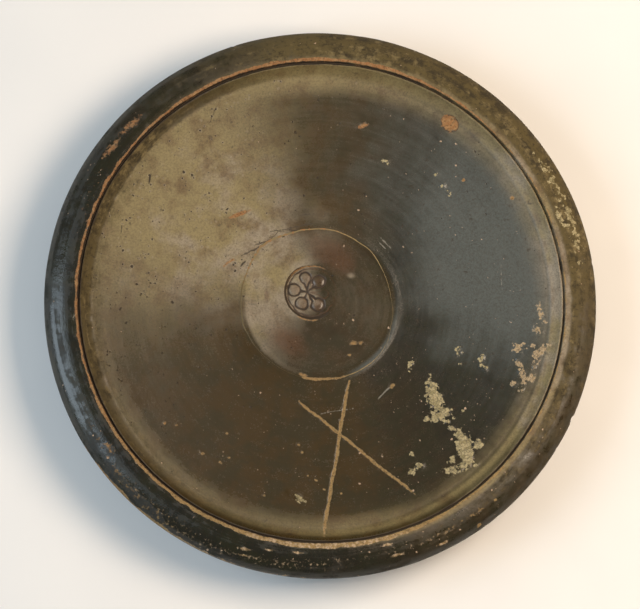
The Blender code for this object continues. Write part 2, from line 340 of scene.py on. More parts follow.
@dataclass(frozen=True)
class Section:
    """The plate's profile, the one that its solid is turned from, read from the axis out and back."""

    rim_radius: float
    crest_height: float
    disc_radius: float = 27.8
    disc_dish: float = 0.4
    base_thickness: float = 8.0
    recess_depth: float = 11.0
    ring_width: float = 4.6
    ring_height: float = 0.5
    ring_step: float = 0.25
    floor_rise: float = 6.2
    floor_bend: float = 1.5
    cavetto_width: float = 5.8
    cavetto_bend: float = 1.9
    groove_width: float = 0.9
    groove_depth: float = 0.8
    ridge_width: float = 1.6
    ridge_height: float = 1.5
    lip_band: float = 12.6
    lip_height: float = 16.5
    shoulder_drop: float = 8.0
    shoulder_fullness: float = 2.2
    lip_taper: float = 0.5
    lip_thickness: float = 4.0
    lip_edge_height: float = 2.0
    wall_thickness: float = 6.5
    hollow_roof: float = 9.5
    foot_radius: float = 38.0
    foot_waist: float = 0.8
    foot_bevel: float = 0.9
    foot_rest_width: float = 3.6
    foot_fillet: float = 3.5
    recess_flare: float = 2.0
    recess_fillet: float = 3.0
    nipple_radius: float = 8.0
    nipple_drop: float = 1.0
    stamp_reach: float = 17.4

    @property
    def base_height(self) -> float:
        """Height of the dish's middle."""
        return self.recess_depth + self.base_thickness

    @property
    def ring_outer(self) -> float:
        """Radius where the raised ring ends and the slope starts."""
        return self.disc_radius + self.ring_width

    @property
    def ridge_radius(self) -> float:
        """Radius of the ridge's crest."""
        return self.rim_radius - self.lip_band

    @property
    def groove_outer(self) -> float:
        """Outer radius of the groove, at the ridge's foot."""
        return self.ridge_radius - self.ridge_width / 2

    @property
    def groove_inner(self) -> float:
        """Inner radius of the groove, where the cavetto ends."""
        return self.groove_outer - self.groove_width

    @property
    def cavetto_inner(self) -> float:
        """Radius where the slope turns up into the cavetto."""
        return self.groove_inner - self.cavetto_width

    @property
    def slope_start(self) -> float:
        """Height of the slope's inner end."""
        return self.base_height + self.disc_dish + self.ring_step

    @property
    def lip_bottom(self) -> float:
        """Height of the hanging lip's lower edge."""
        return self.crest_height - self.lip_height

    def ring_share(self, radius: np.ndarray) -> np.ndarray:
        """Share of the way across the raised ring, from 0 at the disc to 1 at the slope."""
        return np.clip((radius - self.disc_radius) / self.ring_width, 0.0, 1.0)

    def slope(self, radius: np.ndarray) -> np.ndarray:
        """Height of the slope between the ring and the cavetto."""
        share = (radius - self.ring_outer) / (self.cavetto_inner - self.ring_outer)
        return self.slope_start + self.floor_rise * np.clip(share, 0.0, None) ** self.floor_bend

    def floor(self, radius: np.ndarray) -> np.ndarray:
        """Give the height of the dish's upper face.

        Args:
            radius: radii from the axis to the groove.

        Returns:
            The height at each radius.
        """
        share = self.ring_share(radius)
        disc = self.base_height + self.disc_dish * np.clip(radius / self.disc_radius, 0.0, 1.0) ** 2
        ring = self.ring_step * share + self.ring_height * np.sin(math.pi * share)
        across = np.clip((radius - self.cavetto_inner) / self.cavetto_width, 0.0, 1.0)
        rise = self.crest_height - self.ridge_height - self.slope_start - self.floor_rise
        bowl = self.slope(np.minimum(radius, self.cavetto_inner)) + rise * across ** self.cavetto_bend
        return np.where(radius < self.ring_outer, disc + ring, bowl)

    def bend(self, start: Vector, corner: Vector, end: Vector, count: int) -> list[Vector]:
        """Round off a corner.

        Args:
            start: where the bend starts; it isn't in the result.
            corner: where the two straight lines would meet.
            end: where the bend ends.
            count: how many points it gets.

        Returns:
            The bend's points, to its end.
        """
        steps = [(step + 1) / count for step in range(count)]
        return [start.lerp(corner, t).lerp(corner.lerp(end, t), t) for t in steps]

    def line(self, start: Vector, end: Vector, count: int) -> list[Vector]:
        """Divide a straight stretch; the start isn't in the result."""
        return [start.lerp(end, (step + 1) / count) for step in range(count)]

    def dish(self) -> list[Vector]:
        """Lay points over the dish, close where there is relief.

        Returns:
            The points, from the axis to the top of the ridge.
        """
        zones = (
            (self.stamp_reach, 54), (self.disc_radius - 0.8, 10), (self.ring_outer + 1.2, 20),
            (self.cavetto_inner - 2.0, 46), (self.groove_inner, 16),
        )
        radii = np.zeros(1)
        for outer, count in zones:
            radii = np.append(radii, np.linspace(radii[-1], outer, count + 1)[1:])
        points = [Vector(pair) for pair in zip(radii.tolist(), self.floor(radii).tolist())]
        groove = Vector((self.groove_inner + self.groove_width / 2, self.crest_height - self.ridge_height))
        bed = groove - Vector((0.0, self.groove_depth))
        foot = Vector((self.groove_outer, self.crest_height - self.ridge_height / 2))
        points += self.bend(points[-1], bed, bed + Vector((self.groove_width / 4, 0.1)), 4)
        points += self.bend(points[-1], Vector((self.groove_outer, bed.y + 0.1)), foot, 4)
        return points + self.bend(foot, Vector((foot.x, self.crest_height)), self.crest(), 5)

    def crest(self) -> Vector:
        """Top of the ridge, where the lip's shoulder starts."""
        return Vector((self.ridge_radius, self.crest_height))

    def shoulder(self, turns: np.ndarray) -> list[Vector]:
        """Give points of the lip's full shoulder.

        Args:
            turns: angles from 0 at the crest to a quarter turn at the lip's widest place.

        Returns:
            The points.
        """
        power = 2.0 / self.shoulder_fullness
        radii = self.ridge_radius + self.lip_band * np.sin(turns) ** power
        heights = self.crest_height - self.shoulder_drop * (1.0 - np.clip(np.cos(turns), 0.0, 1.0) ** power)
        return [Vector(pair) for pair in zip(radii.tolist(), heights.tolist())]

    def lip(self) -> list[Vector]:
        """Lay points over the hanging lip.

        Returns:
            The points, over its shoulder, down its side and round its edge.
        """
        spread = np.linspace(0.0, 1.0, 28)[1:] ** 1.15
        points = self.shoulder(spread * math.pi / 2)
        side = Vector((self.rim_radius - self.lip_taper, self.lip_bottom + self.lip_edge_height))
        inside = side - Vector((self.lip_thickness, 0.0))
        edge = Vector((side.x - self.lip_thickness / 2, self.lip_bottom))
        points += self.line(points[-1], side, 6)
        points += self.bend(side, Vector((side.x, edge.y)), edge, 5)
        return points + self.bend(edge, Vector((inside.x, edge.y)), inside, 5)

    def underside(self) -> list[Vector]:
        """Lay points over the underside.

        Returns:
            The points, from the lip's inner face to the foot's waist.
        """
        inside = Vector((self.rim_radius - self.lip_taper - self.lip_thickness,
                         self.lip_bottom + self.lip_edge_height))
        roof = Vector((inside.x, self.crest_height - self.hollow_roof))
        points = self.bend(inside, roof, self.under_slope(self.cavetto_inner), 14)
        fillet = self.foot_radius + self.foot_fillet
        radii = np.linspace(self.cavetto_inner, fillet, 22)[1:].tolist()
        points += [self.under_slope(radius) for radius in radii]
        corner = Vector((self.foot_radius - self.foot_waist, self.under_slope(self.foot_radius).y))
        return points + self.bend(points[-1], corner, corner - Vector((0.0, self.foot_fillet)), 6)

    def under_slope(self, radius: float) -> Vector:
        """Point of the underside below the slope."""
        return Vector((radius, float(self.slope(np.array(radius))) - self.wall_thickness))

    def foot(self) -> list[Vector]:
        """Lay points over the ring foot and its recess.

        Returns:
            The points, down to the resting face and back to the axis.
        """
        heel = Vector((self.foot_radius - self.foot_bevel, 0.0))
        toe = heel - Vector((self.foot_rest_width, 0.0))
        toe_top = toe + Vector((-self.foot_bevel, self.foot_bevel))
        corner = Vector((toe_top.x - self.recess_flare, self.recess_depth))
        side = corner - Vector((0.0, self.recess_fillet))
        roof = corner - Vector((self.recess_fillet, 0.0))
        points = self.line(self.underside()[-1], Vector((self.foot_radius, self.foot_bevel * 2)), 4)
        points += self.bend(points[-1], Vector((self.foot_radius, 0.0)), heel, 4)
        points += self.line(heel, toe, 3) + self.line(toe, toe_top, 2) + self.line(toe_top, side, 4)
        points += self.bend(side, corner, roof, 5)
        nipple = Vector((self.nipple_radius, self.recess_depth))
        points += self.line(roof, nipple, 6)
        middle = Vector((self.nipple_radius / 3, self.recess_depth - self.nipple_drop * 2 / 3))
        points += self.line(nipple, middle, 3)
        return points + self.line(middle, Vector((0.0, self.recess_depth - self.nipple_drop)), 2)

    def points(self) -> list[Vector]:
        """Give the whole section, from the middle of the dish round to the middle of the recess."""
        return self.dish() + self.lip() + self.underside() + self.foot()

    def run_at_lip_edge(self) -> float:
        """Distance along the section from the axis to the lowest place of the lip."""
        points = (self.dish() + self.lip())[:-5]
        return sum((b - a).length for a, b in zip(points, points[1:]))


class Wiring:
    """Adds nodes to one node tree and joins them."""

    def __init__(self, tree: bpy.types.NodeTree) -> None:
        """Take an empty tree."""
        self.tree = tree

    def add(self, kind: str, inputs: Inputs = None, **settings: object) -> bpy.types.Node:
        """Add a node.

        Args:
            kind: the node's type.
            inputs: what each input gets, by its identifier: a reading, or a plain value.
            settings: the node's own settings.

        Returns:
            The new node.
        """
        node = self.tree.nodes.new(kind)
        for name, value in settings.items():
            setattr(node, name, value)
        sockets = {socket.identifier: socket for socket in node.inputs}
        for name, value in (inputs or {}).items():
            if isinstance(value, Reading):
                self.tree.links.new(value.socket, sockets[name])
            else:
                sockets[name].default_value = (*value, 1.0) if sockets[name].type == "RGBA" else value
        return node

    def outputs(self, kind: str, inputs: Inputs = None, **settings: object) -> dict[str, "Reading"]:
        """Add a node and give all that it shows, by name."""
        node = self.add(kind, inputs, **settings)
        return {socket.name: Reading(self, socket) for socket in node.outputs if socket.enabled}

    def read(self, kind: str, inputs: Inputs = None, **settings: object) -> "Reading":
        """Add a node and give the first thing that it shows."""
        return next(iter(self.outputs(kind, inputs, **settings).values()))

    def calc(self, operation: str, first: Number, second: Number = 0.5, clamp: bool = False) -> "Reading":
        """Work out one sum, kept from 0 to 1 if clamped; a sum of one number ignores the second."""
        inputs = {"Value": first, "Value_001": second}
        return self.read("ShaderNodeMath", inputs, operation=operation, use_clamp=clamp)

    def point(self, x: Number, y: Number, z: Number) -> "Reading":
        """Join three numbers to coordinates."""
        return self.read("ShaderNodeCombineXYZ", {"X": x, "Y": y, "Z": z})


@dataclass(frozen=True)
class Reading:
    """What one node gives at each place: a number, a colour or coordinates. Sums on it add nodes."""

    wiring: Wiring
    socket: bpy.types.NodeSocket

    def __add__(self, other: Number) -> "Reading":
        """Add a number."""
        return self.wiring.calc("ADD", self, other)

    def __sub__(self, other: Number) -> "Reading":
        """Take a number away."""
        return self.wiring.calc("SUBTRACT", self, other)

    def __mul__(self, other: Number) -> "Reading":
        """Multiply by a number."""
        return self.wiring.calc("MULTIPLY", self, other)

    def vector(self, operation: str, inputs: Inputs = None) -> "Reading":
        """Work out a sum on coordinates, with its other inputs by their identifiers."""
        inputs = {"Vector": self, **(inputs or {})}
        return self.wiring.read("ShaderNodeVectorMath", inputs, operation=operation)

    def axes(self) -> list["Reading"]:
        """Take coordinates apart."""
        return list(self.wiring.outputs("ShaderNodeSeparateXYZ", {"Vector": self}).values())

    def channels(self) -> list["Reading"]:
        """Take a colour apart."""
        return list(self.wiring.outputs("ShaderNodeSeparateColor", {"Color": self}).values())

    def step(self, low: float, high: float, floor: float = 0.0, top: float = 1.0) -> "Reading":
        """Rise smoothly between two values.

        Args:
            low: where the rise starts.
            high: where it ends; it may lie below low.
            floor: result at low.
            top: result at high.

        Returns:
            The result.
        """
        inputs = {"Value": self, "From Min": low, "From Max": high, "To Min": floor, "To Max": top}
        return self.wiring.read("ShaderNodeMapRange", inputs, interpolation_type="SMOOTHSTEP")

    def tint(self, under: Shade, over: Shade) -> "Reading":
        """Lay one colour over another where this reading is 1."""
        inputs = {"Factor_Float": self, "A_Color": under, "B_Color": over}
        return self.wiring.read("ShaderNodeMix", inputs, data_type="RGBA")

    def blend(self, under: Number, over: Number) -> "Reading":
        """Change smoothly from one number, where this reading is 0, to another, where it is 1."""
        return self.wiring.read("ShaderNodeMix", {"Factor_Float": self, "A_Float": under, "B_Float": over})

    def noise(self, size: float, detail: float = 3.0, rough: float = 0.55) -> "Reading":
        """Read a cloudy noise about 0 at these coordinates.

        Args:
            size: how far apart its clouds lie, in millimetres.
            detail: how many finer layers it has.
            rough: how strong they are.

        Returns:
            A number from about -0.5 to 0.5.
        """
        inputs = {"Vector": self, "Scale": 1.0 / size, "Detail": detail, "Roughness": rough}
        return self.wiring.read("ShaderNodeTexNoise", inputs) - 0.5

    def shaken(self, size: float, amount: float) -> "Reading":
        """Push these coordinates about at random, so that what is read there gets ragged edges.

        Args:
            size: how far apart the pushes differ, in millimetres.
            amount: about how far they go, in millimetres.

        Returns:
            The moved coordinates.
        """
        random = self.wiring.outputs("ShaderNodeTexNoise", {"Vector": self, "Scale": 1.0 / size})["Color"]
        push = random.vector("SUBTRACT", {"Vector_001": (0.5, 0.5, 0.5)}).vector("SCALE", {"Scale": amount})
        return self.vector("ADD", {"Vector_001": push})

    def dots(self, spacing: float, share: "Reading", smallest: float, largest: float) -> "Reading":
        """Scatter round dots over these coordinates.

        Args:
            spacing: about how far apart their places lie.
            share: share of the places that hold a dot.
            smallest: the least radius.
            largest: the greatest radius.

        Returns:
            1 inside a dot, 0 outside.
        """
        cells = self.wiring.outputs("ShaderNodeTexVoronoi", {"Vector": self, "Scale": 1.0 / spacing})
        pick = cells["Color"].channels()
        inside = pick[1].step(0.0, 1.0, smallest / spacing, largest / spacing) - cells["Distance"]
        soft = inside.step(-DOT_EDGE / spacing, DOT_EDGE / spacing)
        return soft * self.wiring.calc("LESS_THAN", pick[0], share)

    def fragments(self, size: float) -> tuple["Reading", "Reading"]:
        """Break the surface into small rounded fragments.

        Args:
            size: about how wide a fragment is, in millimetres.

        Returns:
            A random number for each fragment, about 0, and how far each place lies from its gaps.
        """
        inputs = {"Vector": self, "Scale": 1.0 / size}
        pick = self.wiring.outputs("ShaderNodeTexVoronoi", inputs)["Color"].channels()[0]
        gaps = self.wiring.read("ShaderNodeTexVoronoi", inputs, feature="DISTANCE_TO_EDGE")
        return pick - 0.5, gaps * size


def tinted(under: Shade, *layers: tuple[Reading, Shade]) -> Reading:
    """Lay colours over one another.

    Args:
        under: the lowest colour.
        layers: pairs of a mask, 1 where the colour shows, and the colour, from the lowest up.

    Returns:
        The mixed colour.
    """
    for mask, over in layers:
        under = mask.tint(under, over)
    return under


@dataclass(frozen=True)
class Coat:
    """One layer of a finish: its colour, its roughness and its height in millimetres."""

    colour: Shade
    roughness: Number
    height: Number

    def under(self, other: "Coat", mask: Reading) -> "Coat":
        """Lay another coat over this one where the mask is 1."""
        return Coat(mask.tint(self.colour, other.colour), mask.blend(self.roughness, other.roughness),
                    mask.blend(self.height, other.height))


@dataclass(frozen=True)
class Finish:
    """A procedural material: its name, and what all finishes share."""

    name: str

    def material(self) -> bpy.types.Material:
        """Make the material.

        Returns:
            A new material with a Principled shader fed by this finish's coat.
        """
        material = bpy.data.materials.new(self.name)
        material.use_nodes = True
        wiring = Wiring(material.node_tree)
        coordinates = wiring.outputs("ShaderNodeTexCoord")["Object"]
        coat = self.coat(coordinates.vector("SCALE", {"Scale": 1.0 / MM}))
        bump = wiring.read("ShaderNodeBump", {"Height": coat.height, "Distance": MM, "Strength": 1.0})
        shader = material.node_tree.nodes["Principled BSDF"]
        for name, value in (("Base Color", coat.colour), ("Roughness", coat.roughness), ("Normal", bump)):
            wiring.tree.links.new(value.socket, shader.inputs[name])
        return material

    def coat(self, place: Reading) -> Coat:
        """Build the finish's layers on coordinates in millimetres."""
        raise NotImplementedError


@dataclass(frozen=True)
class Mottled(Finish):
    """A dry finish of one coat, which wavers between two colours."""

    first: Colour
    second: Colour
    cloud_size: float
    detail: float
    contrast: float
    roughness: float
    relief: float

    def coat(self, place: Reading) -> Coat:
        """Build the one coat.

        Args:
            place: coordinates in millimetres.

        Returns:
            The coat.
        """
        clouds = place.noise(self.cloud_size, self.detail)
        colour = clouds.step(-self.contrast, self.contrast).tint(self.first, self.second)
        rough = place.wiring.calc("ADD", clouds, self.roughness, clamp=True)
        return Coat(colour, rough, clouds * self.relief)


@dataclass(frozen=True)
class Fields:
    """Coordinates in millimetres and noises that the layers of the gloss share."""

    point: Reading
    flat: Reading
    shaken: Reading
    radius: Reading
    lip: Reading
    x: Reading
    y: Reading
    clouds: Reading
    mottle: Reading
    crumble: Reading
    shards: Reading
    grit: Reading
    streaks: Reading

    @classmethod
    def of(cls, place: Reading) -> "Fields":
        """Make the coordinates and noises.

        Args:
            place: coordinates in millimetres.

        Returns:
            All of them.
        """
        x, y, z = place.axes()
        flat = place.wiring.point(x, y, 0.0)
        radius = flat.vector("LENGTH")
        east, north, _ = flat.vector("NORMALIZE").axes()
        turned = place.wiring.point(radius + z * 0.7, east * 4.0, north * 4.0)
        return cls(
            point=place, flat=flat, shaken=flat.shaken(0.8, 0.9), radius=radius,
            lip=radius.step(97.5, 99.5), x=x, y=y,
            clouds=place.noise(24.0, 3.0),
            mottle=place.noise(5.5, 6.0, 0.7),
            crumble=place.noise(2.6, 5.0, 0.66),
            shards=place.noise(1.3, 4.0, 0.62),
            grit=place.noise(0.75, 3.0, 0.7),
            streaks=turned.noise(1.9, 3.0, 0.6),
        )

    def mark(self, name: Mark) -> Reading:
        """Read one of the body's marks."""
        return self.point.wiring.outputs("ShaderNodeAttribute", attribute_name=name.value)["Fac"]

    def edge(self, mark: Mark, ragged: Reading, softness: float) -> Reading:
        """Mask a mark in millimetres: its edge is pushed about by ragged and is twice softness wide."""
        return (self.mark(mark) + ragged).step(-softness, softness)

    def share(self, mark: Mark, clouds: float, mottle: float, streaks: float) -> Reading:
        """Break one of the marks that run from 0 to 1 up into clouds, mottling and turning streaks.

        Args:
            mark: the mark.
            clouds: how far broad clouds change it.
            mottle: how far the mottling does.
            streaks: how far the streaks do.

        Returns:
            How much of the mark's colour shows at each place.
        """
        value = self.mark(mark)
        broken = self.clouds * clouds + self.mottle * mottle + self.streaks * streaks
        return (value + broken * value.step(0.0, 0.4, 0.12, 1.0)).step(0.02, 0.98)

    def spots(self, mark: Mark, spacing: float, smallest: float, largest: float) -> Reading:
        """Scatter dots in loose groups, as many as a mark allows, with finer ones between them.

        Args:
            mark: share of the places that hold a dot.
            spacing: about how far apart the larger dots' places lie.
            smallest: least radius of the larger dots.
            largest: their greatest radius.

        Returns:
            1 inside a dot, 0 outside.
        """
        share = self.mark(mark) * self.flat.noise(11.0, 2.0).step(-0.05, 0.14, 0.15, 1.6)
        large = self.shaken.dots(spacing, share * 0.34, smallest, largest)
        small = self.shaken.dots(spacing * 0.42, share * 0.26, 0.08, smallest + 0.08)
        return self.point.wiring.calc("MAXIMUM", large, small)


@dataclass(frozen=True)
class WornGloss(Finish):
    """Black gloss over orange clay: dull film with a painted warm sheen, slate haze with a painted bluish
    reflection, red blush, flakes, pits, lime and soil stains, and grime with painted shade.
    """

    slip: Colour = (0.008, 0.009, 0.006)
    slip_brown: Colour = (0.037, 0.021, 0.003)
    slip_green: Colour = (0.016, 0.017, 0.006)
    # Grey-blue of the slate haze, which mostly paints a bluish reflection.
    slate_and_reflection: Colour = (0.075, 0.085, 0.081)
    # Pale olive of the dull film, bright enough to also paint the warm sheen over the upper left of the
    # dish.
    film_and_sheen: Colour = (0.212, 0.163, 0.067)
    film_brown: Colour = (0.105, 0.060, 0.018)
    # Greyer film tone, which also paints the reflection in the cavetto on the right and the highlight round
    # the stamp.
    film_grey_and_sheen: Colour = (0.258, 0.210, 0.146)
    # Red-brown blush, also part of the painted pink highlight beside the crest.
    blush_and_sheen: Colour = (0.082, 0.035, 0.014)
    clay: Colour = (0.235, 0.105, 0.035)
    clay_pale: Colour = (0.275, 0.155, 0.065)
    clay_tan: Colour = (0.245, 0.170, 0.066)
    clay_white: Colour = (0.520, 0.390, 0.270)
    lime: Colour = (0.225, 0.190, 0.095)
    lime_pale: Colour = (0.370, 0.310, 0.175)
    lime_pink: Colour = (0.330, 0.235, 0.150)
    crust: Colour = (0.083, 0.059, 0.017)
    crust_dark: Colour = (0.020, 0.013, 0.003)
    crust_tan: Colour = (0.175, 0.130, 0.054)
    # Dark brown of grime, also the colour of the painted shade in the groove and under the stamp's deep
    # edge.
    dirt: Colour = (0.022, 0.012, 0.004)
    speck: Coat = Coat((0.430, 0.300, 0.205), 0.85, 0.06)
    pit_rim: Coat = Coat((0.258, 0.210, 0.146), 0.7, 0.03)
    pit: Coat = Coat((0.022, 0.012, 0.004), 0.8, -0.25)
    scuff: Coat = Coat((0.240, 0.225, 0.190), 0.6, -0.02)
    gloss_roughness: float = 0.25
    film_roughness: float = 0.58
    dirt_roughness: float = 0.75
    clay_roughness: float = 0.86
    crust_roughness: float = 0.88
    lime_roughness: float = 0.92
    ring_roughness: float = 0.7
    ring_height: float = 0.03
    pit_spacing: float = 3.5
    speck_spacing: float = 3.0
    lime_fragment: float = 1.25

    def ground(self, fields: Fields) -> Coat:
        """Build the gloss itself: brown slip, slate haze that mostly paints a bluish reflection, dull film
        that also paints a warm sheen, and red blush that also paints part of a pink highlight.

        Args:
            fields: the shared noises.

        Returns:
            The gloss.
        """
        brown = fields.share(Mark.BROWN, 0.6, 0.25, 0.3)
        # Slate haze, mostly a painted bluish reflection.
        slate_and_reflection = fields.share(Mark.SLATE_AND_REFLECTION, 0.7, 0.35, 0.35)
        # Dull film, with the painted warm sheen and painted reflections that it carries.
        film_and_sheen_share = fields.share(Mark.FILM_AND_SHEEN, 0.35, 0.28, 0.2)
        # Red-brown blush, with part of the painted pink highlight beside the crest.
        blush_and_sheen_share = fields.share(Mark.BLUSH_AND_SHEEN, 0.6, 1.2, 0.2)
        mottle, streaks, shards, grit = fields.mottle, fields.streaks, fields.shards, fields.grit
        patches = fields.point.noise(21.0, 5.0, 0.6)
        smudged = fields.point.noise(9.0, 6.0, 0.65) + streaks * 0.2
        # Grey film in random patches, more of it towards the middle and on the right, where it paints the
        # highlight round the stamp and the reflection in the cavetto.
        grey_and_sheen = patches + fields.radius * -0.0040 + fields.x.step(55.0, 92.0, 0.20, 0.42)
        smears = fields.crumble + mottle * 0.6
        film_and_sheen = tinted(self.film_and_sheen, (grey_and_sheen.step(-0.08, 0.14, 0.0, 0.95), self.film_grey_and_sheen),
                      (smudged.step(-0.05, 0.22, 0.0, 0.8), self.film_brown))
        colour = tinted(
            self.slip, (brown, self.slip_brown), (smudged.step(0.10, -0.12, 0.0, 0.55), self.slip_green),
            (slate_and_reflection, self.slate_and_reflection), (film_and_sheen_share, film_and_sheen), (blush_and_sheen_share * 0.62, self.blush_and_sheen),
            (grit.step(-0.12, 0.2, 0.0, 0.42), self.dirt), (smears.step(0.12, 0.24, 0.0, 0.55), self.dirt),
        )
        worn_lip = (mottle * 0.5 + streaks * 0.6 + (mottle + streaks).step(0.05, 0.15, 0.0, 0.28)
                    + fields.mark(Mark.CRUST) * 0.3 + fields.radius.step(107.6, 109.4, 0.0, 0.35))
        rough = (film_and_sheen_share.blend(self.gloss_roughness, self.film_roughness)
                 + mottle * 0.10 + grit * 0.15 + streaks * 0.06 + worn_lip * fields.lip)
        height = (streaks * 0.016 + mottle * 0.045 + shards * 0.022 + grit * 0.014
                  + streaks * fields.lip * 0.06 + shards * fields.lip * 0.05)
        return Coat(colour, rough, height)

    def crust_coat(self, fields: Fields) -> Coat:
        """Build the tan and olive crust that mottles the lip.

        Args:
            fields: the shared noises.

        Returns:
            The crust.
        """
        broad = fields.point.noise(4.5, 5.0, 0.7) + fields.streaks * 0.7
        dark = fields.mottle + fields.streaks * 0.8
        colour = tinted(
            self.crust, (dark.step(-0.12, 0.19, 0.0, 0.86), self.crust_dark),
            (broad.step(0.0, 0.22, 0.0, 0.82), self.crust_tan),
            (fields.shards.step(0.02, 0.2, 0.0, 0.7), self.crust_dark),
        )
        return Coat(colour, self.crust_roughness, fields.crumble * 0.2)

    def clay_coat(self, fields: Fields) -> Coat:
        """Build the bare clay under the gloss: orange at the upper left, tan elsewhere, palest low down.

        Args:
            fields: the shared noises.

        Returns:
            The clay.
        """
        mottle = fields.point.noise(1.6, 3.0, 0.6)
        slant = fields.x * 0.6 - fields.y * 0.8
        pale = fields.y.step(-88.0, -98.0) * fields.shards.step(-0.05, 0.12)
        colour = tinted(
            self.clay, (mottle.step(-0.10, 0.16), self.clay_pale),
            (slant.step(-50.0, 50.0, 0.0, 0.75), self.clay_tan), (pale * 0.7, self.clay_white),
            (fields.grit.step(-0.02, 0.16, 0.0, 0.6), self.crust_dark),
        )
        return Coat(colour, self.clay_roughness, fields.grit * 0.12)

    def lime_coat(self, fields: Fields, pick: Reading) -> Coat:
        """Build the chalky crust of lime, pinker near the edge, in fragments that differ a little.

        Args:
            fields: the shared noises.
            pick: a random number for each fragment.

        Returns:
            The lime.
        """
        pink = (fields.x + fields.clouds * 30.0).step(66.0, 78.0, 0.0, 0.7) * fields.y.step(15.0, 0.0)
        colour = tinted(
            self.lime, (pick.step(-0.5, 0.5), self.lime_pale), (pink, self.lime_pink),
            (fields.grit.step(-0.05, 0.15, 0.0, 0.6), self.crust),
        )
        return Coat(colour, self.lime_roughness, fields.shards * 0.25)

    def ring_coat(self, fields: Fields) -> Coat:
        """Build the worn line on the raised ring: rusty above, pink on the right, olive on the left.

        Args:
            fields: the shared noises.

        Returns:
            The line's coat.
        """
        colour = tinted(
            self.clay, (fields.shards.step(-0.16, 0.05), self.crust_tan),
            (fields.y.step(16.0, 4.0), self.crust), (fields.x.step(-2.0, 16.0), self.clay_tan),
        )
        return Coat(colour, self.ring_roughness, self.ring_height)

    def coat(self, place: Reading) -> Coat:
        """Build the gloss and everything on it, from the lowest layer up.

        Args:
            place: coordinates in millimetres.

        Returns:
            The top coat.
        """
        fields = Fields.of(place)
        shards = fields.shards
        # Pit rims show only on the film and its painted sheen.
        on_film_and_sheen = fields.mark(Mark.FILM_AND_SHEEN).step(0.35, 0.75, 0.0, 0.4)
        line = place.wiring.calc("ABSOLUTE", fields.mark(Mark.RING_LINE))
        pick, gap = place.shaken(1.1, 1.0).fragments(self.lime_fragment)
        limed = fields.edge(Mark.LIME, fields.crumble * 3.0 + pick * 1.0, 0.15)
        layers = (
            (self.crust_coat(fields), fields.share(Mark.CRUST, 0.5, 1.6, 0.4)),
            (self.speck, fields.spots(Mark.SPECKS, self.speck_spacing, 0.10, 0.46) * 0.85),
            (self.pit_rim, fields.spots(Mark.PITS, self.pit_spacing, 0.60, 0.95) * on_film_and_sheen),
            (self.pit, fields.spots(Mark.PITS, self.pit_spacing, 0.25, 0.56) * 0.92),
            (self.scuff, fields.edge(Mark.SCUFF, shards * 0.8, 0.12) * 0.55),
            # Grime, and painted shade in the groove and under the stamp's deep edge.
            (Coat(self.dirt, self.dirt_roughness, shards * 0.1),
             fields.edge(Mark.DIRT_AND_SHADE, shards * 0.5, 0.2) * 0.94),
            (self.ring_coat(fields), (line + shards * 2.2).step(1.2, 0.7)),
            (self.clay_coat(fields), fields.edge(Mark.BARE, shards * 1.1, 0.14)),
            (self.lime_coat(fields, pick), limed * gap.step(0.0, 0.12, 0.3, 1.0)),
        )
        coat = self.ground(fields)
        for over, mask in layers:
            coat = coat.under(over, mask)
        return coat


@dataclass(frozen=True)
class Blotch:
    """An oval patch on the plate's upper side: its middle, half its length and width, and its turn.

    A firm patch is whole; the less firm it is and the more of it is lost, the more the finish breaks it up.
    """

    x: float
    y: float
    length: float
    width: float
    turn: float = 0.0
    firm: float = 1.0
    loss: float = 0.0

    def depth(self, surface: Surface) -> np.ndarray:
        """Measure the patch.

        Args:
            surface: the body's points.

        Returns:
            About how far each point lies inside the patch's edge, below 0 outside.
        """
        turn = math.radians(self.turn)
        east, north = surface.x - self.x, surface.y - self.y
        along = (east * math.cos(turn) + north * math.sin(turn)) / self.length
        across = (north * math.cos(turn) - east * math.sin(turn)) / self.width
        return (1.0 - np.hypot(along, across)) * self.width

    def inside(self, surface: Surface) -> np.ndarray:
        """Give the patch's depth as its finish reads it, weaker where the patch is broken up."""
        return self.depth(surface) * self.firm - self.loss

    def fade(self, surface: Surface) -> np.ndarray:
        """Fade from 1 at the patch's middle to 0 at its edge."""
        return smooth(self.depth(surface), 0.0, self.width)


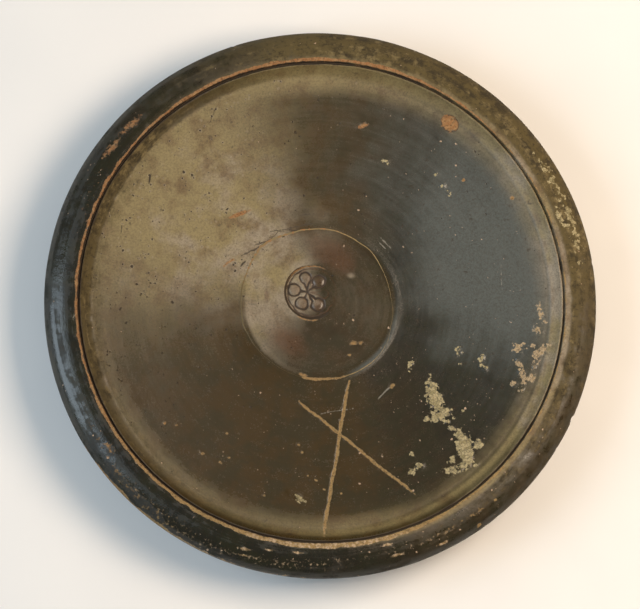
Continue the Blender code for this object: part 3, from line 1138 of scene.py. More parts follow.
@dataclass(frozen=True)
class Stroke:
    """One scratched line: each end is a share of the dish's radius and an angle in degrees.

    It is measured only within reach of the line.
    """

    start: tuple[float, float]
    end: tuple[float, float]
    width: float = 0.4
    depth: float = 0.03
    seed: float = 3.0
    waver: float = 0.5
    burr: float = 0.03
    reach: float = 4.0
    beyond_reach: float = -6.0
    taper: float = 6.0

    def place(self, end: tuple[float, float], dish_radius: float) -> np.ndarray:
        """Give the place of one end, in millimetres."""
        share, turn = end
        return share * dish_radius * np.array([math.cos(math.radians(turn)), math.sin(math.radians(turn))])

    def inside(self, surface: Surface, dish_radius: float) -> np.ndarray:
        """Measure the stroke, which wavers a little and tapers at its ends.

        Args:
            surface: the body's points.
            dish_radius: radius that the ends are shares of.

        Returns:
            How far each point lies inside the stroke's edge, below 0 outside.
        """
        start, end = self.place(self.start, dish_radius), self.place(self.end, dish_radius)
        length = np.linalg.norm(end - start)
        heading = (end - start) / length
        east, north = surface.x - start[0], surface.y - start[1]
        along = east * heading[0] + north * heading[1]
        across = north * heading[0] - east * heading[1]
        past = np.maximum(np.maximum(-along, along - length), 0.0)
        inside = np.full_like(along, self.beyond_reach)
        near = (np.abs(across) < self.reach) & (past < self.reach)
        along, across, past = along[near], across[near], past[near]
        level = np.zeros_like(along)
        waver = self.waver * grain(along, level, level, 9.0, self.seed)
        waver += 0.35 * self.waver * grain(along, level, level, 2.2, self.seed + 5.0)
        swell = 1.0 + 0.45 * grain(along, level, level, 4.0, self.seed + 9.0)
        taper = smooth(np.minimum(along, length - along), -1.0, min(self.taper, length / 2))
        inside[near] = self.width / 2 * swell * (0.55 + 0.45 * taper) - np.hypot(across - waver, past)
        return inside

    def carve(self, surface: Surface, dish_radius: float) -> np.ndarray:
        """Cut the stroke and raise a thin burr beside it.

        Args:
            surface: the body's points.
            dish_radius: radius that the ends are shares of.

        Returns:
            The lift of each point.
        """
        inside = self.inside(surface, dish_radius)
        cut = smooth(inside, 0.16, self.width / 2 + 0.06)
        return self.burr * self.depth * bell(inside, -0.25, 0.22) - self.depth * cut


@dataclass(frozen=True)
class Petal:
    """One petal of the stamp: its angle in degrees, how clear it is, and its pad's distance and radius."""

    turn: float
    strength: float
    distance: float
    size: float


@dataclass(frozen=True)
class Rosette:
    """The stamp: a round field pressed in at a slant, six petals with raised pads, and a border line."""

    x: float = -3.5
    y: float = 4.9
    radius: float = 10.8
    depth: float = 0.55
    slant: float = math.tan(math.radians(3.4))
    line: float = 0.75
    line_depth: float = 0.42
    pad_lift: float = 0.26
    wobble: float = 0.5
    border_inset: float = 1.2
    hub_x: float = -1.8
    hub_y: float = 0.0
    hub_size: float = 0.8
    hub_strength: float = 0.7
    border_strength: float = 0.8
    petals: tuple[Petal, ...] = each(
        Petal,
        (170.0, 1.0, 5.3, 2.3), (97.0, 0.95, 5.7, 2.0), (44.0, 0.85, 6.1, 2.2), (-5.0, 0.2, 6.6, 1.6),
        (-51.0, 1.2, 6.6, 2.4), (-117.0, 0.95, 5.1, 2.2),
    )
    bare_width: Steps = (
        (45, -0.6), (65, 0.15), (120, 0.25), (150, 0.1), (175, -0.2), (190, -0.5), (225, -0.4),
        (245, 0.25), (280, 0.25), (300, -0.5),
    )
    bare_path: Steps = ((90, -0.35), (180, -0.1), (225, 0.7), (280, 0.75), (330, 0.3))

    def local(self, surface: Surface) -> tuple[np.ndarray, np.ndarray]:
        """Coordinates of the points from the stamp's middle."""
        return surface.x - self.x, surface.y - self.y

    def petal_edge(self, surface: Surface, petal: Petal) -> np.ndarray:
        """Measure one petal: a round pad drawn in to a point at the hub.

        Args:
            surface: the body's points.
            petal: which one it is.

        Returns:
            How far each point lies inside the petal's outline, below 0 outside.
        """
        east, north = self.local(surface)
        east, north = east - self.hub_x, north - self.hub_y
        cos, sin = math.cos(math.radians(petal.turn)), math.sin(math.radians(petal.turn))
        along, across = east * cos + north * sin, np.abs(north * cos - east * sin)
        pad = petal.size + 0.25 - np.hypot(along - petal.distance, across)
        wedge = (along - 1.6) * petal.size / petal.distance * 0.95 - across
        wedge = np.minimum(wedge, petal.distance - along)
        return np.maximum(pad, wedge * 0.9) + self.stray(surface)

    def stray(self, surface: Surface) -> np.ndarray:
        """Let the worn lines stray from their true place.

        Args:
            surface: the body's points.

        Returns:
            How far they stray at each point.
        """
        near = np.hypot(*self.local(surface)) < self.radius + 2.0
        stray = np.zeros_like(surface.radius)
        places = (surface.x[near], surface.y[near], surface.height[near])
        stray[near] = grain(*places, *Grain.STAMP_STRAY.value)
        return self.wobble * stray

    def lines(self, surface: Surface) -> np.ndarray:
        """Measure the stamped lines.

        Args:
            surface: the body's points.

        Returns:
            How deep each point lies in a line, from 0 to about 1.
        """
        east, north = self.local(surface)
        distance = np.hypot(east, north)
        half = self.line / 2
        deepest = np.zeros_like(distance)
        for petal in self.petals:
            rim = self.petal_edge(surface, petal)
            deepest = np.maximum(deepest, petal.strength * bell(rim, 0.0, half))
        kept = 0.2 + 0.8 * smooth(east + 0.4 * north, 7.0, -3.0)
        border = kept * bell(distance + self.stray(surface), self.radius - self.border_inset, half * 0.8)
        away = np.hypot(east - self.hub_x, north - self.hub_y)
        hub = self.hub_strength * bell(away, 0.0, self.hub_size)
        deepest = np.maximum(np.maximum(deepest, self.border_strength * border), hub)
        return deepest * (1.0 + 0.9 * self.stray(surface))

    def carve(self, surface: Surface) -> np.ndarray:
        """Press the stamp into the surface.

        Args:
            surface: the body's points.

        Returns:
            The lift of each point.
        """
        east, north = self.local(surface)
        distance = np.hypot(east, north)
        field_edge = smooth(distance, self.radius + 0.35, self.radius - 0.55)
        sunk = np.maximum(self.depth - east * self.slant, 0.0) * field_edge
        pads = np.maximum(self.pads(surface, 0.15, 1.4), 0.0)
        worn = 0.35 + 0.65 * smooth(east, 9.0, -1.0)
        return -sunk - self.line_depth * self.lines(surface) * worn + self.pad_lift * pads * worn

    def dirt(self, surface: Surface) -> np.ndarray:
        """Measure the dark grime in the lines, and the painted shade under the deep edge on the left.

        Args:
            surface: the body's points.

        Returns:
            How far each point lies inside the grime and painted shade, in millimetres.
        """
        east, north = self.local(surface)
        distance = np.hypot(east, north)
        # Painted shade under the field's deep edge on the left.
        wall = bell(distance, self.radius - 0.1, 0.5) * smooth(east + 0.5 * north, 6.0, -2.0)
        reach = np.maximum(self.lines(surface), wall)
        return np.where(distance < self.radius + 2.0, (reach - 0.44) * 0.8, OUTSIDE)

    def bare(self, surface: Surface) -> np.ndarray:
        """Measure the worn clay on the stamp's upper and lower edge.

        Args:
            surface: the body's points.

        Returns:
            How far each point lies inside the clay, in millimetres.
        """
        east, north = self.local(surface)
        distance = np.hypot(east, north)
        turn = np.degrees(np.arctan2(north, east)) % 360.0
        width = by_angle(turn, self.bare_width)
        middle = by_angle(turn, self.bare_path)
        return width - np.abs(distance - self.radius - middle)

    def pads(self, surface: Surface, foot: float, top: float) -> np.ndarray:
        """Measure how far up a petal's pad each point lies.

        Args:
            surface: the body's points.
            foot: how far inside the petal's edge the pad starts.
            top: how far inside it is full.

        Returns:
            The share of the pad's height, from 0 to about 1.
        """
        return np.max([petal.strength * smooth(self.petal_edge(surface, petal), foot, top)
                       for petal in self.petals], axis=0)

    def brim(self, surface: Surface) -> np.ndarray:
        """Rust-coloured edges of the stamped lines, from 0 to 1."""
        return smooth(self.lines(surface), 0.05, 0.25)


@dataclass(frozen=True)
class RaisedRing:
    """The wear of the raised ring round the disc, the thin line along its top, and a painted highlight on
    its right side.
    """

    section: Section
    path: Steps = (
        (0, 28.4), (15, 28.2), (40, 28.9), (60, 29.5), (90, 30.5), (110, 30.9), (125, 32.2), (136, 33.0),
        (150, 32.2), (180, 32.0), (210, 31.6), (250, 30.4), (290, 30.6), (320, 31.2), (345, 29.2),
    )
    bare: Steps = ((252, -0.8), (258, 0.62), (268, 0.6), (276, 0.42), (288, 0.3), (297, -0.6))
    line: Steps = (
        (0, 0.04), (20, 0.06), (40, 0.14), (60, 0.16), (88, 0.3), (112, 0.34), (135, 0.5), (146, 0.4),
        (165, 0.26), (198, 0.2), (212, 0.05), (256, 0.05), (264, 0.2), (300, 0.14), (330, 0.05),
    )
    loss: Steps = (
        (0, 0.75), (90, 0.6), (150, 0.65), (195, 0.8), (215, 0.95), (250, 0.95), (266, 0.6), (285, 0.5),
        (300, 0.45), (340, 0.65),
    )
    # Painted highlight: a soft grey-blue band on the raised ring's right side, laid in slate.
    ring_highlight: Steps = ((285, 0.0), (305, 0.75), (345, 0.75), (0, 0.4), (60, 0.25), (80, 0.0))
    ridge: float = 0.08
    reach: float = 40.0
    line_limit: float = 30.0
    line_spread: float = 0.6
    ring_highlight_spread: float = 1.3
    top_shift: float = 0.3
    wander: float = 0.5

    def wear(self, surface: Surface) -> np.ndarray:
        """Wear the raised ring down where the plate shows it faint, and sharpen it elsewhere.

        Args:
            surface: the body's points.

        Returns:
            The lift of each point.
        """
        section = self.section
        loss = surface.around(self.loss)
        hump = np.sin(math.pi * section.ring_share(surface.radius))
        line = bell(surface.radius, self.middle(), self.line_spread)
        lift = self.ridge * (1.0 - loss) * line - section.ring_height * loss * hump
        return lift * (surface.radius < self.reach)

    def middle(self) -> float:
        """Radius of the raised ring's top."""
        return self.section.disc_radius + self.section.ring_width / 2 + self.top_shift

    def offset(self, surface: Surface) -> np.ndarray:
        """How far outside the worn line on the raised ring each point lies; the line wanders a little."""
        away = surface.radius - surface.around(self.path)
        return away - self.wander * surface.grain(Grain.RING_WANDER)

    def bared(self, surface: Surface) -> np.ndarray:
        """Measure the bare clay at the bottom of the raised ring, in millimetres inside its edge."""
        return surface.around(self.bare) - np.abs(self.offset(surface))

    def lined(self, surface: Surface) -> np.ndarray:
        """Measure the worn line on the raised ring.

        Args:
            surface: the body's points.

        Returns:
            How far each point lies from the line's middle, in shares of its half width.
        """
        offset = self.offset(surface) / surface.around(self.line)
        return np.clip(offset, -self.line_limit, self.line_limit)


@dataclass(frozen=True)
class Crest:
    """The wear of the ridge inside the lip."""

    section: Section
    reach: Steps = (
        (0, -0.4), (40, -0.3), (62, 0.1), (78, 0.6), (100, 0.8), (125, 0.4), (160, 0.25), (195, 0.4),
        (225, 0.6), (248, 0.8), (266, 1.4), (286, 1.2), (300, 0.3), (325, -0.2),
    )
    ragged: float = 0.6
    inset: float = 0.15
    inner_ragged: float = 0.3
    drop: float = 3.0
    lowered: float = 0.10
    nick_depth: float = 0.34
    nick_edge: tuple[float, float] = (0.2, 0.85)
    fine_nicks: float = 0.6
    worn_shift: float = 0.2
    worn_spread: float = 1.1

    def bare(self, surface: Surface) -> np.ndarray:
        """Measure the bare clay along the ridge.

        Args:
            surface: the body's points.

        Returns:
            How far each point lies inside the worn band, in millimetres.
        """
        section = self.section
        outer = section.ridge_radius + surface.around(self.reach)
        outer = outer + self.ragged * surface.grain(Grain.CREST_OUTER)
        inner = section.groove_outer + self.inset
        inner = inner + self.inner_ragged * surface.grain(Grain.CREST_INNER)
        high = surface.height > section.crest_height - self.drop
        return np.where(high, np.minimum(outer - surface.radius, surface.radius - inner), OUTSIDE)

    def wear(self, surface: Surface) -> np.ndarray:
        """Wear the ridge down, with nicks in it.

        Args:
            surface: the body's points.

        Returns:
            The lift of each point.
        """
        on_crest = bell(surface.radius, self.section.ridge_radius + self.worn_shift, self.worn_spread)
        nicks = surface.grain(Grain.CREST_NICKS) + self.fine_nicks * surface.grain(Grain.CREST_FINE_NICKS)
        return -on_crest * (self.lowered + self.nick_depth * smooth(nicks, *self.nick_edge))


@dataclass(frozen=True)
class EdgeWear:
    """The bare clay on the lip's outer edge and the foot's resting face, and the lip's fine flaking."""

    section: Section
    flakes: Steps = (
        (130, -2.0), (146, -0.22), (160, -0.18), (172, -0.5), (196, -0.32), (210, -0.15), (222, -0.1),
        (240, -0.09), (252, -0.16), (285, -0.17), (300, -0.18), (312, -0.26), (330, -2.0),
    )
    flake_row: Steps = (
        (146, 101.0), (170, 101.5), (205, 102.5), (222, 106.0), (245, 107.2), (262, 105.5), (285, 104.5),
        (300, 103.5),
    )
    edge_reach: Steps = (
        (0, -1.6), (30, -1.5), (120, -1.5), (200, -1.2), (213, -0.5), (226, -0.05), (240, -0.25),
        (262, -0.8), (300, -1.1), (330, -1.5),
    )
    edge_band: float = 1.6
    edge_depth: float = 2.0
    edge_ragged: float = 0.9
    edge_fade: float = 0.35
    edge_bottom: float = 8.5
    foot_band: float = 0.7
    foot_ragged: float = 0.3
    flake_fall: float = 0.05
    flake_streaks: float = 0.12
    flake_reach: float = 4.0
    flake_bottom: float = 5.0

    def worn(self, surface: Surface) -> np.ndarray:
        """Measure the worn clay on the lip's outer edge and on the foot's resting face.

        Args:
            surface: the body's points.

        Returns:
            How far each point lies inside it, in millimetres.
        """
        section = self.section
        outer = surface.radius - section.rim_radius + self.edge_band
        lip = np.minimum(outer, self.edge_depth) + surface.around(self.edge_reach) - 1.0
        lip = np.where(outer > 0.0, lip + self.edge_ragged * surface.grain(Grain.EDGE_WEAR), OUTSIDE)
        lip -= self.edge_fade * np.maximum(section.lip_bottom + self.edge_bottom - surface.height, 0.0)
        under = surface.run > section.run_at_lip_edge()
        foot = self.foot_band - surface.height + self.foot_ragged * surface.grain(Grain.FOOT_WEAR)
        return np.maximum(lip, np.where(under, foot, OUTSIDE))

    def flaked(self, surface: Surface) -> np.ndarray:
        """Measure the lip's fine flaking, which only the finish's roughest places bring out.

        Args:
            surface: the body's points.

        Returns:
            How far each point lies inside it, never far above 0.
        """
        away = np.abs(surface.radius - surface.around(self.flake_row))
        found = surface.around(self.flakes) - self.flake_fall * away
        found = found + self.flake_streaks * surface.streaks(Grain.LIP_FLAKES)
        high = surface.height > self.section.lip_bottom + self.flake_bottom
        return np.where((away < self.flake_reach) & high, found, OUTSIDE)


@dataclass(frozen=True)
class Chip:
    """The chip in the lip's side and the small nicks round it."""

    section: Section
    angle: float = -25.0
    length: float = 5.8
    depth: float = 2.4
    fullness: float = 1.5
    inner: float = 107.5
    height: float = 22.0
    rise: float = 2.0
    roughness: float = 0.3
    side_nick: float = 0.45
    nick_edge: tuple[float, float] = (0.52, 0.9)
    fine_nicks: float = 0.5

    def beside(self, surface: Surface) -> np.ndarray:
        """How far each point lies beside the chip's middle, along the lip."""
        turn = np.radians((surface.angle - self.angle + 180.0) % 360.0 - 180.0)
        return self.section.rim_radius * turn

    def bite(self, surface: Surface) -> np.ndarray:
        """Bite the chip and a few nicks out of the lip's side.

        Args:
            surface: the body's points.

        Returns:
            How far each point moves outwards, never above 0.
        """
        section = self.section
        half_depth = self.depth * self.fullness
        middle = section.rim_radius + half_depth - self.depth
        along = self.beside(surface) / (self.length / 2)
        rise = (surface.height - section.lip_bottom - self.rise) / (self.height / 2)
        cap = np.sqrt(np.clip(1.0 - along ** 2 - rise ** 2, 0.0, 1.0))
        rough = self.roughness * surface.grain(Grain.CHIP)
        bitten = np.minimum(middle - half_depth * cap + rough - surface.radius, 0.0) * (cap > 0.0)
        nicks = surface.grain(Grain.NICKS) + self.fine_nicks * surface.grain(Grain.FINE_NICKS)
        nicks = smooth(nicks, *self.nick_edge)
        edge = smooth(surface.radius, section.rim_radius - 2.5, section.rim_radius - 0.2)
        return np.minimum(bitten, -self.side_nick * nicks * edge)

    def near(self, surface: Surface) -> np.ndarray:
        """How far each point lies inside the chip's place on the lip, below 0 outside."""
        beside = self.length / 2 - np.abs(self.beside(surface))
        return np.minimum(beside, surface.radius - self.inner)


@dataclass(frozen=True)
class PlateBody:
    """The plate's whole body, turned by a Geometry Nodes tree and then given its relief and marks."""

    section: Section
    finish: Finish = WornGloss("black_gloss")
    steps: int = 144
    first_split: float = 12.0
    second_split: float = 95.0
    split_past_lip: float = 3.0
    same_ring: float = 0.01
    mark_reaches: tuple[tuple[float, float], ...] = ((1.0, 9.0), (0.1, 0.7))
    pad_tint: tuple[float, float] = (0.25, 1.1)
    rosette: Rosette = Rosette()
    strokes: tuple[Stroke, ...] = each(
        Stroke,
        ((0.346, -69.9), (0.977, -89.7), 1.2, 0.28, 3.0),
        ((0.422, -102.4), (0.891, -64.3), 1.05, 0.25, 7.0),
    )
    scuffs: tuple[Stroke, ...] = each(
        Stroke,
        ((0.772, 12.5), (0.757, 3.0), 0.16, 0.02, 12.0), ((0.379, 49.6), (0.380, 37.8), 0.45, 0.02, 13.0),
        ((0.361, 49.8), (0.362, 37.5), 0.4, 0.02, 14.0), ((0.463, -59.1), (0.451, -47.7), 0.6, 0.02, 15.0),
        ((0.465, -90.0), (0.458, -73.0), 0.35, 0.02, 16.0),
    )
    cracks: tuple[Stroke, ...] = each(
        Stroke,
        ((0.343, 96.0), (0.346, 112.0), 0.30, 0.08, 31.0, 1.5),
        ((0.350, 111.0), (0.352, 128.0), 0.35, 0.10, 32.0, 1.7),
        ((0.354, 126.0), (0.358, 143.0), 0.35, 0.10, 33.0, 1.7),
        ((0.331, 105.0), (0.356, 113.5), 0.4, 0.12, 21.0, 1.6),
        ((0.341, 117.0), (0.366, 125.0), 0.45, 0.14, 22.0, 2.0),
        ((0.336, 128.0), (0.369, 138.0), 0.5, 0.14, 23.0, 2.2),
        ((0.352, 137.0), (0.381, 147.5), 0.5, 0.14, 24.0, 2.2),
        ((0.375, 143.0), (0.392, 149.0), 0.4, 0.10, 25.0, 0.9),
        ((0.362, 150.5), (0.371, 155.0), 0.6, 0.12, 30.0, 0.9),
        ((0.890, 159.0), (0.875, 162.6), 0.5, 0.15, 26.0), ((0.889, 143.2), (0.872, 145.6), 0.8, 0.2, 27.0),
        ((0.934, 118.2), (0.884, 122.2), 0.35, 0.05, 28.0), ((0.385, 97.0), (0.383, 103.0), 0.4, 0.1, 29.0),
    )
    lime: tuple[Blotch, ...] = each(
        Blotch,
        (43.6, -32.4, 2.4, 1.4, -80.0, 0.6), (44.8, -37.6, 5.6, 2.7, -72.0, 0.6),
        (49.0, -43.2, 2.5, 2.0, -30.0, 0.7), (46.0, -45.4, 2.3, 1.9, 20.0, 0.6),
        (50.0, -47.4, 1.6, 1.0, -20.0, 0.8), (41.7, -46.1, 0.9, 0.7, 0.0, 0.9),
        (51.9, -50.3, 1.8, 0.5, -48.0, 0.9), (54.9, -53.2, 2.2, 1.9, -40.0, 0.8),
        (56.9, -58.6, 6.4, 3.0, -84.0, 0.7), (56.2, -64.8, 3.6, 2.0, 28.0, 0.6),
        (52.3, -67.0, 2.3, 1.2, 10.0, 0.45), (61.8, -56.7, 2.0, 1.5, 60.0, 0.5),
        (51.4, -63.0, 1.1, 0.7, 30.0, 0.7), (60.7, -64.6, 0.8, 0.6, 0.0, 0.9),
        (85.7, -10.7, 1.9, 1.2, -60.0, 0.7), (87.3, -4.0, 1.8, 0.6, -80.0, 0.6),
        (88.6, -7.3, 0.7, 0.6, 0.0, 0.9), (86.2, -20.8, 2.6, 1.7, 70.0, 0.7),
        (88.0, -18.6, 1.8, 0.9, 30.0, 0.7), (84.0, -17.3, 0.9, 0.7, 0.0, 0.9),
        (83.4, -30.3, 1.8, 1.5, 20.0, 0.8), (79.8, -28.2, 2.1, 1.4, -60.0, 0.7),
        (78.8, -24.8, 1.6, 0.7, -70.0, 0.8), (77.8, -22.7, 0.9, 0.7, 0.0, 0.9),
        (78.4, -18.1, 2.3, 1.7, 10.0, 0.5, 0.15), (76.6, -16.9, 0.8, 0.6, 0.0, 0.9),
        (80.6, -16.4, 0.9, 0.6, 40.0, 0.9), (76.3, -32.2, 1.3, 0.8, 80.0, 0.9),
        (80.3, -32.3, 1.0, 0.6, 10.0, 0.9), (79.2, -34.8, 1.1, 0.7, 15.0, 0.9),
        (84.2, -25.8, 0.8, 0.6, 30.0, 0.9), (64.0, -21.9, 1.1, 0.8, 50.0, 0.9),
        (65.3, -26.2, 0.9, 0.7, -50.0, 0.9), (63.5, -25.1, 0.55, 0.5), (54.7, -18.9, 1.3, 0.8, -70.0, 0.9),
        (55.4, -24.2, 0.5, 0.45), (35.7, -24.6, 1.5, 0.8, 80.0, 0.9), (38.9, -65.3, 1.4, 1.1, 10.0),
        (35.6, -67.6, 1.3, 1.0, 50.0, 0.8), (35.9, -61.0, 1.1, 0.6, -70.0, 0.9), (56.0, -43.0, 0.6, 0.5),
        (52.5, -45.7, 0.6, 0.5), (-8.4, -78.8, 2.4, 1.1, -32.0, 0.9), (25.7, 57.6, 0.9, 0.6, -30.0),
        (50.9, 45.1, 1.0, 0.5, -30.0, 0.9), (48.7, 48.0, 1.0, 0.5, 20.0, 0.9), (45.9, 52.4, 0.5, 0.45),
        (93.6, 46.4, 5.8, 0.9, -65.0, 0.45), (98.6, 36.4, 4.6, 0.9, -70.0, 0.45),
        (95.6, 33.2, 2.4, 0.7, -68.0, 0.5), (101.0, 25.6, 3.6, 0.6, -76.0, 0.4),
        (88.8, 54.6, 2.2, 0.6, -57.0, 0.4),
    )
    flakes: tuple[Blotch, ...] = each(
        Blotch,
        (51.6, 72.9, 3.6, 2.9, -40.0, 0.3), (-32.8, 35.8, 4.3, 0.8, 22.0),
        (16.8, 72.1, 1.9, 0.9, 25.0, 0.6), (-76.5, 69.6, 5.2, 1.4, 43.0, 0.22, 0.12),
        (-84.2, 60.0, 5.8, 1.3, 52.0, 0.22, 0.12), (-36.4, 16.6, 3.0, 0.6, 38.0, 0.5, 0.05),
        (28.2, -33.0, 1.3, 0.7, 40.0, 0.7), (57.2, 50.2, 0.8, 0.6), (76.6, 42.8, 0.9, 0.7, 0.0, 0.7),
        (13.0, -15.7, 1.3, 0.8, 20.0, 0.5), (16.0, -15.6, 0.8, 0.6, 40.0, 0.6),
        (11.4, -20.6, 0.7, 0.5, 0.0, 0.7), (-7.1, -28.6, 1.6, 0.6, -15.0, 0.8),
        (-83.8, -59.3, 2.4, 1.1, -50.0, 0.2, 0.10), (-61.7, -48.9, 0.75, 0.5, 60.0),
        (-57.3, -49.7, 0.5, 0.4), (-46.9, -60.9, 0.8, 0.55, -20.0), (-39.7, -64.5, 0.8, 0.4, -40.0),
        (-37.3, -52.7, 0.5, 0.45), (-36.5, -62.4, 0.5, 0.4), (-22.5, -77.4, 0.6, 0.4),
        (-8.8, -57.0, 0.6, 0.4, -40.0), (-7.4, -60.0, 0.6, 0.45, -50.0), (-5.2, -69.2, 0.5, 0.35),
        (-2.0, -71.2, 0.6, 0.35, -30.0), (1.1, -74.9, 0.5, 0.35), (7.9, -76.5, 0.5, 0.4),
        (68.1, -79.2, 0.7, 0.5), (61.3, -84.0, 2.4, 0.6, 40.0, 0.35, 0.12),
        (49.4, -91.2, 3.0, 0.7, 28.0, 0.3, 0.14), (47.6, -96.2, 2.2, 0.5, 25.0, 0.6, 0.05),
        (62.0, -88.9, 1.1, 0.6, 40.0, 0.9), (29.5, -101.1, 2.6, 0.5, 14.0, 0.5, 0.06),
        (25.4, -97.2, 1.6, 0.6, 10.0, 0.5, 0.05), (-30.3, -99.1, 1.9, 0.4, -8.0, 0.5),
        (-20.4, -99.4, 1.2, 0.3, -5.0, 0.6), (-9.6, -100.4, 1.5, 0.3, -5.0, 0.6),
        (-30.8, -101.4, 1.5, 0.3, -10.0, 0.5),
    )
    # Painted highlight: a pale patch round the stamp, strongest to its left, laid in film and slate.
    stamp_sheen: Blotch = Blotch(-9.0, 1.0, 15.0, 13.0, 30.0)
    rust: tuple[Blotch, ...] = each(
        Blotch,
        (-21.5, 3.4, 6.2, 1.9, 90.0), (5.0, 20.0, 18.0, 10.0, -25.0), (-13.0, -15.0, 16.0, 9.0, -35.0),
    )
    olive_spot: Blotch = Blotch(12.2, 11.6, 3.0, 2.2, 0.0)
    # How strong the groove's dark line of grime and painted shade is, round the plate.
    groove_dirt_and_shade: Steps = (
        (0, 0.2), (30, 0.05), (60, 0.35), (85, 0.5), (120, 0.75), (240, 0.7), (290, 0.6), (320, 0.5),
        (340, 0.4),
    )
    wall_shade: Steps = ((0, 0.0), (120, 0.0), (190, 0.2), (212, 0.7), (275, 0.7), (305, 0.5), (335, 0.25))
    # Painted shade: less crust on the outer half of the lip on the right, so that it shows darker.
    outer_lip_shade: Steps = ((0, 0.3), (18, 0.05), (60, 0.0), (280, 0.0), (296, 0.5), (330, 0.5), (348, 0.38))
    # How strong the painted pink highlight just outside the crest is, round the plate.
    crest_sheen: Steps = (
        (0, 0.95), (40, 0.95), (60, 0.9), (100, 0.5), (150, 0.0), (240, 0.0), (270, 0.3), (300, 0.85),
        (330, 1.1),
    )
    spreads: tuple[Spread, ...] = (
        Spread(
            # Dull film, and painted light: a warm sheen over the upper left of the dish and the disc, and a
            # reflection along the cavetto's wall on the right.
            Mark.FILM_AND_SHEEN,
            disc=((0, 0.2), (60, 0.13), (80, 0.18), (100, 0.36), (125, 0.74), (155, 0.9), (180, 0.68),
                  (205, 0.42), (225, 0.28), (245, 0.16), (270, 0.1), (300, 0.12)),
            dish=((0, 0.05), (60, 0.08), (78, 0.12), (92, 0.2), (108, 0.46), (122, 0.78), (138, 1.0),
                  (155, 0.97), (170, 0.64), (185, 0.32), (200, 0.14), (218, 0.05), (240, 0.04), (270, 0.03),
                  (300, 0.03)),
            foot=((0, 0.32), (60, 0.44), (90, 0.7), (130, 0.76), (160, 0.56), (190, 0.44), (230, 0.44),
                  (270, 0.5), (300, 0.38), (330, 0.42)),
            wall=((0, 0.95), (30, 0.75), (60, 0.6), (90, 0.65), (120, 0.34), (150, 0.06), (185, 0.05),
                  (215, 0.3), (250, 0.45), (300, 0.68), (330, 0.95)),
        ),
        Spread(
            # Mostly painted light: a bluish reflection over the right of the dish and the cavetto's wall
            # there, with a teal tint on the lip's left side.
            Mark.SLATE_AND_REFLECTION,
            dish=((0, 0.95), (30, 0.95), (50, 0.6), (70, 0.35), (95, 0.12), (120, 0.0), (290, 0.0),
                  (315, 0.1), (335, 0.25), (350, 0.75)),
            disc=((0, 0.1), (110, 0.1), (140, 0.35), (220, 0.35), (260, 0.1)),
            wall=((0, 0.6), (40, 0.6), (70, 0.3), (100, 0.0), (290, 0.0), (320, 0.4)),
            lip=((0, 0.0), (110, 0.12), (140, 0.06), (160, 0.16), (205, 0.16), (225, 0.0)),
        ),
        Spread(
            Mark.BROWN,
            disc=((0, 0.6),),
            dish=((0, 0.1), (30, 0.15), (60, 0.45), (80, 0.85), (100, 1.0), (270, 1.0), (292, 0.6),
                  (315, 0.3), (340, 0.12)),
            wall=((0, 0.4), (60, 0.7), (270, 0.8), (320, 0.4)),
            lip=((0, 0.8), (100, 0.7), (130, 0.35), (160, 0.05), (240, 0.05), (266, 0.15), (295, 0.5)),
            under=0.35,
        ),
        Spread(Mark.BLUSH_AND_SHEEN),
        Spread(
            Mark.CRUST,
            foot=((120, 0.0), (145, 0.3), (180, 0.45), (215, 0.4), (250, 0.25), (280, 0.0)),
            wall=((110, 0.0), (140, 0.85), (195, 0.85), (230, 0.3), (260, 0.0)),
            lip=((0, 0.9), (20, 0.98), (60, 1.1), (95, 1.0), (108, 0.55), (125, 0.22), (150, 0.03),
                 (255, 0.0), (285, 0.12), (305, 0.34), (330, 0.68)),
        ),
        Spread(
            Mark.SPECKS,
            disc=((0, 0.4), (60, 0.3), (110, 0.05), (230, 0.1), (290, 0.45), (330, 0.65)),
            dish=((0, 0.45), (30, 0.3), (60, 0.35), (90, 0.15), (120, 0.08), (200, 0.1), (225, 0.3),
                  (270, 0.6), (310, 0.9), (335, 0.55)),
            lip=((0, 0.35), (60, 0.35), (95, 0.1), (125, 0.15), (148, 0.7), (166, 0.6), (180, 0.1),
                 (205, 0.5), (235, 0.8), (275, 1.0), (300, 0.7), (330, 0.35)),
        ),
        Spread(
            Mark.PITS,
            disc=((0, 0.1), (110, 0.2), (200, 0.2), (240, 0.1)),
            dish=((0, 0.05), (90, 0.2), (112, 1.1), (135, 2.0), (185, 1.8), (210, 0.8), (240, 0.15),
                  (300, 0.05)),
        ),
    )
    turning_lift: float = 0.02
    hill_lift: float = 0.09
    flake_depth: float = 0.07
    crust_lift: float = 0.17
    crumb_lift: float = 0.20
    groove_fill: float = 0.30
    groove_gaps: tuple[float, float] = (-0.4, 0.6)
    groove_spread: float = 0.35
    flake_edge: tuple[float, float] = (-0.05, 0.25)
    flake_ragged: float = 0.8
    crust_edge: tuple[float, float] = (-0.1, 0.5)
    crust_ragged: float = 2.0

    @property
    def ring(self) -> RaisedRing:
        """The raised ring's wear."""
        return RaisedRing(self.section)

    @property
    def crest(self) -> Crest:
        """The ridge's wear."""
        return Crest(self.section)

    @property
    def edges(self) -> EdgeWear:
        """The lip's and the foot's wear."""
        return EdgeWear(self.section)

    @property
    def chip(self) -> Chip:
        """The chip in the lip."""
        return Chip(self.section)

    def profile(self) -> bpy.types.Object:
        """Lay out the section as a chain of points.

        Returns:
            An object whose points carry how far along the section they lie.
        """
        points = self.section.points()
        mesh = bpy.data.meshes.new("plate_section")
        corners = [(point.x * MM, 0.0, point.y * MM) for point in points]
        mesh.from_pydata(corners, [(k, k + 1) for k in range(len(corners) - 1)], [])
        lengths = [0.0] + [(b - a).length for a, b in zip(points, points[1:])]
        run = mesh.attributes.new(Ring.RUN.value, "FLOAT", "POINT")
        run.data.foreach_set("value", np.cumsum(lengths))
        return put_in_scene("plate", mesh)

